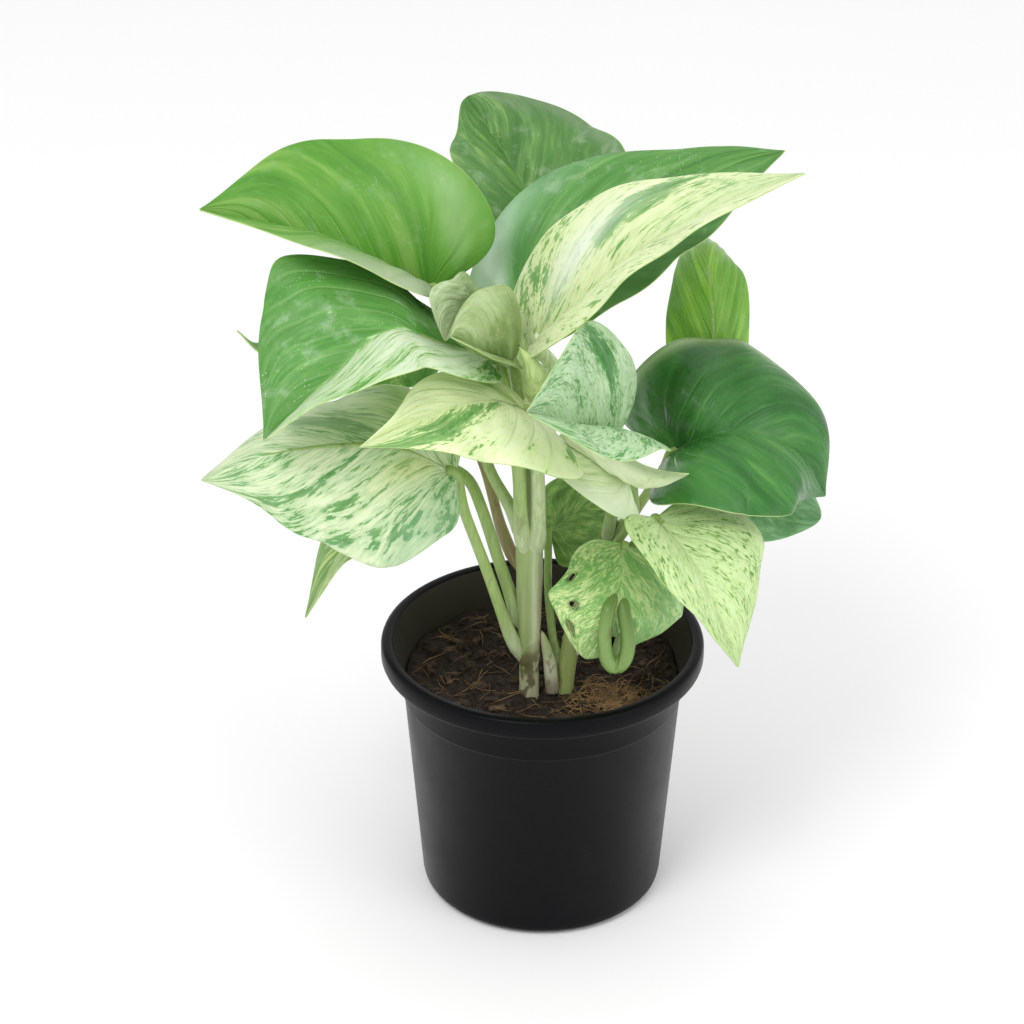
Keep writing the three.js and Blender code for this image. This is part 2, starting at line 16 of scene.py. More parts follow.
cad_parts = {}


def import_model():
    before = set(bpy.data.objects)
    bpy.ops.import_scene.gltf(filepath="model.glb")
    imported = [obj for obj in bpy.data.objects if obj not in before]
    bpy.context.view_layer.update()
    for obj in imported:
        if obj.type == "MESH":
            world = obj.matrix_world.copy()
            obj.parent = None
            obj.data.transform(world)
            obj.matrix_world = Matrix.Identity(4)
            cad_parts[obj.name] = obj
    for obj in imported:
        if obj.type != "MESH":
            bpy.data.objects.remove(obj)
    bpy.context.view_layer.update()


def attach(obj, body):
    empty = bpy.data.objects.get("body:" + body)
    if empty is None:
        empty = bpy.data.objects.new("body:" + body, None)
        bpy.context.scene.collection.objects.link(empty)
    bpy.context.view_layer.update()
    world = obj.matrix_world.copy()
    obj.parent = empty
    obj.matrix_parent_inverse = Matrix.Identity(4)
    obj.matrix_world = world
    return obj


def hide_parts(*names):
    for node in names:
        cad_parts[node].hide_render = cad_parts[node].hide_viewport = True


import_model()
MM = 0.001


# ------------------------------------------------------------------ small helpers

def lerp(a, b, t):
    return a + (b - a) * t


def clamp(x, low=0.0, high=1.0):
    return max(low, min(high, x))


def smooth(a, b, x):
    t = clamp((x - a) / (b - a))
    return t * t * (3 - 2 * t)


def hill(x, centre, width):
    return math.exp(-((x - centre) / width) ** 2)


def colour(code):
    """A linear colour from a hexadecimal one."""
    parts = [int(code[i:i + 2], 16) / 255 for i in (1, 3, 5)]
    return [c / 12.92 if c <= 0.04045 else ((c + 0.055) / 1.055) ** 2.4 for c in parts] + [1.0]


class SmoothPath:
    """A smooth line through points, measured along its length from 0 to 1."""

    STEPS = 200
    STEEP = 0.8

    def __init__(self, points):
        self.points = [Vector(p) * MM for p in points]
        spots = [self.at(i / self.STEPS) for i in range(self.STEPS + 1)]
        self.lengths = [0.0]
        for a, b in zip(spots, spots[1:]):
            self.lengths.append(self.lengths[-1] + (b - a).length)
        self.length = self.lengths[-1]

    def at(self, t):
        points = self.points
        place = t * (len(points) - 1)
        i = min(int(place), len(points) - 2)
        w = place - i
        b, c = points[i], points[i + 1]
        a = points[i - 1] if i else 2 * b - c
        d = points[i + 2] if i + 2 < len(points) else 2 * c - b
        leave, arrive = (c - a) / 2, (d - b) / 2
        return (b + leave * w + (3 * (c - b) - 2 * leave - arrive) * w ** 2
                + (2 * (b - c) + leave + arrive) * w ** 3)

    def place(self, p):
        goal = clamp(p) * self.length
        i = min(max(bisect_right(self.lengths, goal) - 1, 0), self.STEPS - 1)
        stretch = self.lengths[i + 1] - self.lengths[i]
        return (i + (goal - self.lengths[i]) / stretch) / self.STEPS

    def point(self, p):
        return self.at(self.place(p))

    def along(self, p):
        t = self.place(p)
        return (self.at(min(1, t + 1e-4)) - self.at(max(0, t - 1e-4))).normalized()

    def frame(self, p):
        """Where the line is, its direction, and two directions across it carried from its start."""
        start, along = self.along(0), self.along(p)
        guide = Vector((0, 0, 1)) if abs(start.z) < self.STEEP else Vector((0, 1, 0))
        side = start.rotation_difference(along) @ start.cross(guide).normalized()
        return self.point(p), along, side, along.cross(side)


def sheet(bm, across, along, place, wrap=False):
    """A grid in bm whose every corner place(x, y) puts somewhere, x and y from 0 to 1."""
    uv = bm.loops.layers.uv.get("leaf") or bm.loops.layers.uv.new("leaf")
    made = bmesh.ops.create_grid(bm, x_segments=across, y_segments=along, size=0.5)["verts"]
    spots = {v: (v.co.x + 0.5, v.co.y + 0.5) for v in made}
    for face in {f for v in made for f in v.link_faces}:
        face.smooth = True
        for loop in face.loops:
            loop[uv].uv = spots[loop.vert]
    for v, (x, y) in spots.items():
        v.co = place(x, y)
    if wrap:
        bmesh.ops.remove_doubles(bm, verts=made, dist=1e-6)
        made = [v for v in made if v.is_valid]
        rims = [e for e in {e for v in made for e in v.link_edges} if e.is_boundary]
        if rims:
            bmesh.ops.holes_fill(bm, edges=rims, sides=0)
    return made


def tube(bm, path, radius_at, around=10, along=24, flat=1.0):
    """A round or flattened section drawn along a path, its radius changing on the way."""
    def place(x, y):
        origin, _, side, over = path.frame(y)
        turn = 2 * math.pi * x
        radius = radius_at(y, turn)
        return origin + side * radius * math.cos(turn) + over * radius * flat * math.sin(turn)

    sheet(bm, around, along, place, wrap=True)


def is_closed(bm):
    return all(not e.is_boundary for e in bm.edges)


def piece(name, bm, materials, node=None):
    """A finished bmesh as a piece that rides on the plant's body."""
    if is_closed(bm):
        bmesh.ops.recalc_face_normals(bm, faces=bm.faces[:])
    mesh = bpy.data.meshes.new(name)
    bm.to_mesh(mesh)
    bm.free()
    obj = bpy.data.objects.new(name, mesh)
    bpy.context.scene.collection.objects.link(obj)
    for material in materials:
        mesh.materials.append(material)
    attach(obj, "root")
    if node:
        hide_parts(node)
    return obj


# ------------------------------------------------------------------ shader node helpers

class Tree:
    """Places and links nodes in a material or a group."""

    def __init__(self, tree):
        self.tree = tree

    def node(self, kind, values=None, **settings):
        node = self.tree.nodes.new(kind)
        for key, value in settings.items():
            setattr(node, key, value)
        for key, value in (values or {}).items():
            self.set(node.inputs[key], value)
        return node

    def set(self, socket, value):
        if isinstance(value, bpy.types.NodeSocket):
            self.tree.links.new(value, socket)
        elif isinstance(value, bpy.types.Node):
            self.tree.links.new(value.outputs[0], socket)
        elif value is not None:
            socket.default_value = value

    def math(self, operation, a, b=None, c=None, limit=False):
        node = self.node("ShaderNodeMath", operation=operation, use_clamp=limit)
        for socket, value in zip(node.inputs, (a, b, c)):
            self.set(socket, value)
        return node.outputs[0]

    def ramp(self, value, low, high, to_low=0.0, to_high=1.0):
        node = self.node("ShaderNodeMapRange", interpolation_type="SMOOTHSTEP")
        for key, given in zip(("Value", "From Min", "From Max", "To Min", "To Max"),
                              (value, low, high, to_low, to_high)):
            self.set(node.inputs[key], given)
        return node.outputs[0]

    def mix(self, factor, a, b):
        node = self.node("ShaderNodeMix", data_type="RGBA")
        self.set(node.inputs[0], factor)
        self.set(node.inputs[6], a)
        self.set(node.inputs[7], b)
        return node.outputs[2]

    def mix_value(self, factor, a, b):
        node = self.node("ShaderNodeMix", data_type="FLOAT")
        for socket, value in zip((node.inputs[0], node.inputs[2], node.inputs[3]), (factor, a, b)):
            self.set(socket, value)
        return node.outputs[0]

    def noise(self, vector, scale=1.0, detail=2.0, roughness=0.5, distortion=0.0):
        node = self.node("ShaderNodeTexNoise", {"Vector": vector, "Scale": scale, "Detail": detail,
                                                "Roughness": roughness, "Distortion": distortion})
        return node.outputs[0]

    def vector(self, x, y, z):
        return self.node("ShaderNodeCombineXYZ", {"X": x, "Y": y, "Z": z}).outputs[0]

    def object_place(self):
        return self.node("ShaderNodeTexCoord").outputs["Object"]

    def group(self, group, **values):
        node = self.node("ShaderNodeGroup", node_tree=group)
        for key, value in values.items():
            self.set(node.inputs[key.replace("_", " ")], value)
        return node


def new_group(name, inputs, outputs):
    """An empty node group with named sockets: (name, kind, value) and (name, kind)."""
    group = bpy.data.node_groups.new(name, "ShaderNodeTree")
    for label, kind, value in inputs:
        socket = group.interface.new_socket(label, in_out="INPUT", socket_type="NodeSocket" + kind)
        socket.default_value = value
    for label, kind in outputs:
        group.interface.new_socket(label, in_out="OUTPUT", socket_type="NodeSocket" + kind)
    tree = Tree(group)
    given = tree.node("NodeGroupInput")
    result = tree.node("NodeGroupOutput")
    return group, tree, given.outputs, result.inputs


def new_material(name, roughness=0.5, **constants):
    """A material with a Principled BSDF, and its tree and shader."""
    material = bpy.data.materials.new(name)
    material.use_nodes = True
    tree = Tree(material.node_tree)
    shader = material.node_tree.nodes["Principled BSDF"]
    shader.inputs["Roughness"].default_value = roughness
    for key, value in constants.items():
        shader.inputs[key.replace("_", " ")].default_value = value
    return material, tree, shader


def bumped(tree, shader, height, distance, strength=1.0):
    bump = tree.node("ShaderNodeBump",
                     {"Strength": strength, "Distance": distance, "Height": height})
    tree.set(shader.inputs["Normal"], bump.outputs[0])


# ------------------------------------------------------------------ effects

# How far a side vein sweeps to the tip, how it bends on the way, and how veins fan out in the lobes
VEIN_SWEEP = 0.55
VEIN_BEND = 0.9
LOBE_FAN = 0.32
LEAST_SWEEP = 0.001


def vein_place(p, signed):
    """Which side vein a point of a blade is on: they sweep to the tip, and fan out in the lobes."""
    sweep = VEIN_SWEEP * abs(signed) ** VEIN_BEND + LEAST_SWEEP
    beyond = p - sweep
    return beyond / sweep * LOBE_FAN if beyond < 0 else beyond


def make_leaf_lines():
    """Where a point of a blade lies: how far from the rib and along it, on which vein and half."""
    group, t, _, out = new_group("Leaf lines", [], [
        ("Across", "Float"), ("Vein Place", "Float"), ("Half", "Float"), ("Rib Place", "Float")])
    spot = t.node("ShaderNodeSeparateXYZ", {"Vector": t.node("ShaderNodeUVMap", uv_map="leaf")})
    signed = t.math("MULTIPLY_ADD", spot.outputs[0], 2.0, -1.0)
    across = t.math("ABSOLUTE", signed)
    sweep = t.math("MULTIPLY_ADD", t.math("POWER", across, VEIN_BEND), VEIN_SWEEP, LEAST_SWEEP)
    beyond = t.math("SUBTRACT", spot.outputs[1], sweep)
    fanned = t.math("MULTIPLY", t.math("DIVIDE", beyond, sweep), LOBE_FAN)
    t.set(out["Across"], across)
    t.set(out["Vein Place"], t.mix_value(t.math("LESS_THAN", beyond, 0.0), beyond, fanned))
    t.set(out["Half"], t.math("SIGN", signed))
    t.set(out["Rib Place"], spot.outputs[1])
    return group


def make_marbling(leaf_lines):
    """Four tissues, from cream to deep green, in streaks and flecks along the side veins."""
    group, t, given, out = new_group("Leaf marbling", [
        ("Cream Share", "Float", 0.5), ("Seed", "Float", 0.0), ("Streaks", "Float", 24.0),
        ("Stretch", "Float", 4.0), ("Flecks", "Float", 0.3), ("Softness", "Float", 0.02),
        ("Cream", "Color", colour("#dbeac4")), ("Pale", "Color", colour("#b5d49a")),
        ("Green", "Color", colour("#6fae5a")), ("Deep", "Color", colour("#3c8a3a"))],
        [("Color", "Color"), ("Height", "Float")])
    lines = t.group(leaf_lines)
    seed = t.math("MULTIPLY_ADD", lines.outputs["Half"], 3.7, given["Seed"])
    along = t.math("MULTIPLY", lines.outputs["Vein Place"], given["Streaks"])
    outward = t.math("MULTIPLY", lines.outputs["Across"], given["Stretch"])
    streaks = t.noise(t.vector(along, outward, seed), 1.0, 4.0, 0.62, 0.35)
    flecks = t.noise(t.vector(along, t.math("MULTIPLY", outward, 1.1), t.math("ADD", seed, 9.0)),
                     2.2, 2.0, 0.6, 0.3)
    broad = t.noise(t.vector(along, outward, t.math("ADD", seed, 21.0)), 0.28, 2.0, 0.5)
    field = t.math("MULTIPLY_ADD", t.math("SUBTRACT", flecks, streaks), given["Flecks"], streaks)
    field = t.math("MULTIPLY_ADD", t.math("SUBTRACT", broad, 0.5), 0.35, field)
    line = t.math("MULTIPLY_ADD", given["Cream Share"], 0.36, 0.32)
    soft = given["Softness"]
    green = t.ramp(field, t.math("SUBTRACT", line, soft), t.math("ADD", line, soft))
    pale = t.ramp(field, t.math("SUBTRACT", line, 0.16), t.math("SUBTRACT", line, 0.01))
    deep = t.ramp(t.math("SUBTRACT", field, line), 0.04, 0.2)
    tissue = t.mix(pale, given["Cream"], given["Pale"])
    tissue = t.mix(green, tissue, given["Green"])
    tissue = t.mix(t.math("MULTIPLY", deep, green), tissue, given["Deep"])
    clouds = t.noise(t.vector(along, outward, t.math("ADD", seed, 40.0)), 0.5, 3.0, 0.6)
    tissue = t.mix(t.ramp(clouds, 0.35, 0.72, 0.0, 0.22), tissue, given["Pale"])
    t.set(out["Color"], tissue)
    t.set(out["Height"], streaks)
    return group


def make_veins(leaf_lines):
    """The rib's groove and the side veins as a height, and as a mask for their colour."""
    group, t, given, out = new_group("Leaf veins", [
        ("Count", "Float", 9.0), ("Seed", "Float", 0.0)], [("Height", "Float"), ("Lines", "Float")])
    lines = t.group(leaf_lines)
    across, place = lines.outputs["Across"], lines.outputs["Vein Place"]
    drift = t.noise(t.vector(t.math("MULTIPLY", place, 3.0), across, given["Seed"]), 1.5, 1.0)
    drifted = t.math("ADD", place, t.math("MULTIPLY", drift, 0.12))
    turns = t.math("MULTIPLY", drifted, given["Count"])
    fraction = t.math("FRACT", t.math("ADD", turns, 20.0))
    near = t.math("ABSOLUTE", t.math("SUBTRACT", fraction, 0.5))
    vein = t.ramp(near, 0.14, 0.0)
    fine = t.math("FRACT", t.math("MULTIPLY_ADD", turns, 5.0, 0.3))
    fine = t.ramp(t.math("ABSOLUTE", t.math("SUBTRACT", fine, 0.5)), 0.4, 0.0)
    fade = t.math("MULTIPLY", t.ramp(across, 1.0, 0.75), t.ramp(across, 0.0, 0.06))
    rib = t.ramp(across, 0.05, 0.0)
    both = t.math("MAXIMUM", t.math("MULTIPLY", vein, fade), rib)
    rise = t.math("SUBTRACT", t.math("MULTIPLY", fine, 0.18), both)
    t.set(out["Height"], rise)
    t.set(out["Lines"], both)
    return group


def make_dust():
    """Fine pale dust specks and a thin film in patches."""
    group, t, given, out = new_group("Leaf dust", [
        ("Amount", "Float", 0.3), ("Size", "Float", 900.0)], [("Mask", "Float")])
    place = t.object_place()
    cells = t.node("ShaderNodeTexVoronoi",
                   {"Vector": place, "Scale": given["Size"], "Randomness": 1.0})
    speck = t.ramp(cells.outputs["Distance"], 0.26, 0.12)
    patches = t.ramp(t.noise(place, 55.0, 3.0, 0.6), 0.5, 0.62)
    lot = t.node("ShaderNodeSeparateXYZ", {"Vector": cells.outputs["Color"]}).outputs[0]
    chosen = t.ramp(lot, 0.62, 0.66)
    specks = t.math("MULTIPLY", t.math("MULTIPLY", speck, chosen), patches)
    film = t.math("MULTIPLY", t.ramp(t.noise(place, 120.0, 4.0, 0.65), 0.52, 0.74), 0.35)
    t.set(out["Mask"], t.math("MULTIPLY", t.math("ADD", specks, film, limit=True), given["Amount"]))
    return group


LEAF_LINES = make_leaf_lines()
MARBLING = make_marbling(LEAF_LINES)
VEINS = make_veins(LEAF_LINES)
DUST = make_dust()

# Cream, pale, green and deep tissue of each kind of leaf
TISSUES = {
    "fresh": ("#7fa852", "#699c3e", "#589234", "#47812b"),
    "deep": ("#86a95f", "#668f4d", "#4e7d3c", "#426f34"),
    "long": ("#80ae66", "#6b9c53", "#548c41", "#437a35"),
    "glossy": ("#6b9a52", "#4d8740", "#3c7635", "#2e642b"),
    "marble": ("#dde9c2", "#b7d0a2", "#5f9653", "#3f7a3a"),
    "half": ("#d8e7c8", "#a9cb8d", "#5d9a44", "#4c8838"),
    "front": ("#eef8ca", "#dff0b0", "#7fae62", "#558e45"),
    "cream": ("#e4edc0", "#d2e2a8", "#74a45a", "#528c43"),
    "mint": ("#bfd8b1", "#a1c292", "#569049", "#3a7735"),
    "folded": ("#dfecc4", "#cfe0ae", "#8fb670", "#6ca056"),
    "lime": ("#bfd48b", "#a8c470", "#5f8e3f", "#457830"),
    "speckled": ("#cbe0a6", "#b3cf8a", "#5f8e3f", "#457830"),
    "under": ("#86b380", "#70a06e", "#5e915c", "#4f8150"),
    "bright": ("#9fc955", "#86b748", "#6fa23b", "#5c9232"),
    "torn": ("#e2edae", "#b6d688", "#82b665", "#5f9c52"),
    "young": ("#cbd9b2", "#b4c79a", "#9ab07f", "#839b68"),
    "cupped": ("#b0c08e", "#98ad74", "#819b5c", "#698547"),
    "shaded": ("#a9c26f", "#86aa5c", "#688f48", "#4e7038"),
}


def leaf_face(name, tissue, seed, streaks, stretch, flecks, softness, dust, roughness, under=False):
    """The skin of one side of a blade."""
    material, t, shader = new_material(
        name, roughness, Subsurface_Weight=0.1, Subsurface_Radius=(0.002, 0.003, 0.001),
        Subsurface_Scale=1.0, Specular_IOR_Level=0.3)
    share = t.node("ShaderNodeAttribute", attribute_name="cream").outputs["Fac"]
    cream, pale, green, deep = [colour(c) for c in TISSUES[tissue]]
    marble = t.group(MARBLING, Cream_Share=share, Seed=seed, Streaks=streaks, Stretch=stretch,
                     Flecks=flecks, Softness=softness,
                     Cream=cream, Pale=pale, Green=green, Deep=deep)
    veins = t.group(VEINS, Seed=seed)
    skin = marble.outputs["Color"]
    # Stains of the leaf's own colour, painted shade and painted highlights, laid over the marbling
    # from one colour attribute
    stain_and_painted_light = t.node("ShaderNodeAttribute", attribute_name="stain_and_painted_light")
    skin = t.mix(stain_and_painted_light.outputs["Alpha"], skin, stain_and_painted_light.outputs["Color"])
    if under:
        skin = t.mix(0.4, skin, colour("#a9c48c"))
        skin = t.mix(t.math("MULTIPLY", veins.outputs["Lines"], 0.45), skin, colour("#bdd39c"))
    else:
        skin = t.mix(t.math("MULTIPLY", veins.outputs["Lines"], 0.2), skin, pale)
        film = t.group(DUST, Amount=dust).outputs[0]
        skin = t.mix(film, skin, colour("#d3dfcf"))
    scar = t.node("ShaderNodeAttribute", attribute_name="scar").outputs["Fac"]
    skin = t.mix(scar, skin, colour("#33220f"))
    mottle = t.noise(t.object_place(), 160.0, 3.0, 0.6)
    skin = t.mix(t.ramp(mottle, 0.35, 0.7, 0.0, 0.08), skin, deep)
    t.set(shader.inputs["Base Color"], skin)
    t.set(shader.inputs["Roughness"], t.ramp(mottle, 0.3, 0.7, roughness - 0.05, roughness + 0.08))
    height = t.math("MULTIPLY_ADD", marble.outputs["Height"], 0.25, veins.outputs["Height"])
    bumped(t, shader, height, -0.0005 if under else 0.0003, 0.6)
    return material


def leaf_rim():
    material, t, shader = new_material("Leaf margin", 0.45)
    shade = t.noise(t.object_place(), 90.0, 2.0)
    t.set(shader.inputs["Base Color"], t.mix(shade, colour("#c9dc9a"), colour("#9fbf6c")))
    return material


def stalk_skin(name, foot, middle, top, seed, marks=0.0):
    """A fleshy stalk, pale at the foot, with long streaks and a few brown marks."""
    material, t, shader = new_material(
        name, 0.38, Subsurface_Weight=0.15, Subsurface_Radius=(0.003, 0.004, 0.001),
        Subsurface_Scale=1.0)
    spot = t.node("ShaderNodeSeparateXYZ", {"Vector": t.node("ShaderNodeUVMap", uv_map="leaf")})
    skin = t.mix(t.ramp(spot.outputs[1], 0.0, 0.3), colour(foot), colour(middle))
    skin = t.mix(t.ramp(spot.outputs[1], 0.4, 1.0), skin, colour(top))
    place = t.object_place()
    lengthwise = t.noise(t.node("ShaderNodeMapping", {"Vector": place, "Location": (seed, 0, 0),
                                                      "Scale": (900, 900, 45)}), 1.0, 2.0)
    skin = t.mix(t.ramp(lengthwise, 0.35, 0.7, 0.0, 0.35), skin, colour("#6d8f3f"))
    blots = t.noise(t.node("ShaderNodeMapping", {"Vector": place, "Location": (0, seed, 0),
                                                 "Scale": (240, 240, 90)}), 1.0, 3.0)
    blot = t.ramp(blots, 0.6, 0.68)
    skin = t.mix(t.math("MULTIPLY", blot, marks), skin, colour("#6b4a2c"))
    t.set(shader.inputs["Base Color"], skin)
    bumped(t, shader, lengthwise, 0.0002, 0.6)
    return material


# ------------------------------------------------------------------ leaves

class Blade:
    """The shape of a blade, as in the solids: two halves steered by points of their margins.

    Ripples lie between the side veins and ruffles run along the margin, both in millimetres high.
    """

    WIDEST_PLACE = 0.62
    LOBE_PLACE = 0.1
    LOBE_SWEEP = 1.5
    SEARCH_STEPS = 80
    SEARCH_END = 77
    RIPPLES, RIPPLE_SWEEP, RIPPLE_BEND = 9, 0.3, 1.25
    RUFFLES, RUFFLE_SHIFT = 2.3, 0.37

    def __init__(self, rib, left, right, lobe, bulge, taper=1.1, ripple=0.3, ruffle=0.6, turn=0.0):
        self.rib = SmoothPath(rib)
        self.lobe = [x * MM for x in lobe]
        self.bulge, self.taper, self.turn = bulge, taper, turn
        self.ripple, self.ruffle = ripple * MM, ruffle * MM
        self.halves = [self.stations(left, 0), self.stations(right, 1)]

    def width_at(self, p):
        return max(0.0, math.sin(math.pi * p ** self.WIDEST_PLACE)) ** self.taper

    def lobe_at(self, p):
        return p / self.LOBE_PLACE * math.exp(1 - p / self.LOBE_PLACE)

    def stations(self, margin, half):
        """The place on the rib, the angle and the reach of the half at each point of its margin."""
        found = []
        for point in margin:
            best = None
            for i in range(1, self.SEARCH_END):
                p = i / self.SEARCH_STEPS
                origin, along, side, over = self.rib.frame(p)
                away = Vector(point) * MM - origin
                swept = self.lobe[half] * self.lobe_at(p)
                miss = abs(away.dot(along) + swept) + 0.1 * away.length
                if best is None or miss < best[0]:
                    best = (miss, p, away.dot(side), away.dot(over))
            _, p, across, rise = best
            angle = math.atan2(rise, across)
            if found:
                angle += 2 * math.pi * round((found[-1][1] - angle) / (2 * math.pi))
            found.append((p, angle, math.hypot(across, rise) / self.width_at(p)))
        return found

    def steer(self, half, p):
        """The angle and the reach of a half anywhere along the rib."""
        stations = self.halves[half]
        if p <= stations[0][0]:
            return stations[0][1:]
        for a, b in zip(stations, stations[1:]):
            if p < b[0]:
                t = smooth(a[0], b[0], p)
                return lerp(a[1], b[1], t), lerp(a[2], b[2], t)
        return stations[-1][1:]

    def point(self, p, signed):
        """A point of the blade, signed from -1 at the left margin to 1 at the right one."""
        half, hand = (0, 1) if signed < 0 else (1, -1)
        v = abs(signed)
        origin, along, side, over = self.rib.frame(p)
        angle, reach = self.steer(half, p)
        out = side * math.cos(angle) + over * math.sin(angle)
        upward = along.cross(out) * hand
        full = self.width_at(p)
        width = reach * full
        arch = 4 * v * (1 - v)
        rise = self.bulge[half] * width * arch
        vein = p - self.RIPPLE_SWEEP * v ** self.RIPPLE_BEND
        fade = min(1, full * 1.5)
        rise += self.ripple * math.cos(2 * math.pi * self.RIPPLES * vein) * arch * fade
        wave = self.RUFFLES * p + self.turn + self.RUFFLE_SHIFT * half
        rise += self.ruffle * math.sin(2 * math.pi * wave) * v ** 3 * full
        swept = self.lobe[half] * self.lobe_at(p) * v ** self.LOBE_SWEEP
        return origin + out * width * v - along * swept + upward * rise

    def upper_side(self, half, p):
        """The direction that the upper face of a half looks in at the rib."""
        _, along, side, over = self.rib.frame(p)
        angle, _ = self.steer(half, p)
        return along.cross(side * math.cos(angle) + over * math.sin(angle)) * (1, -1)[half]


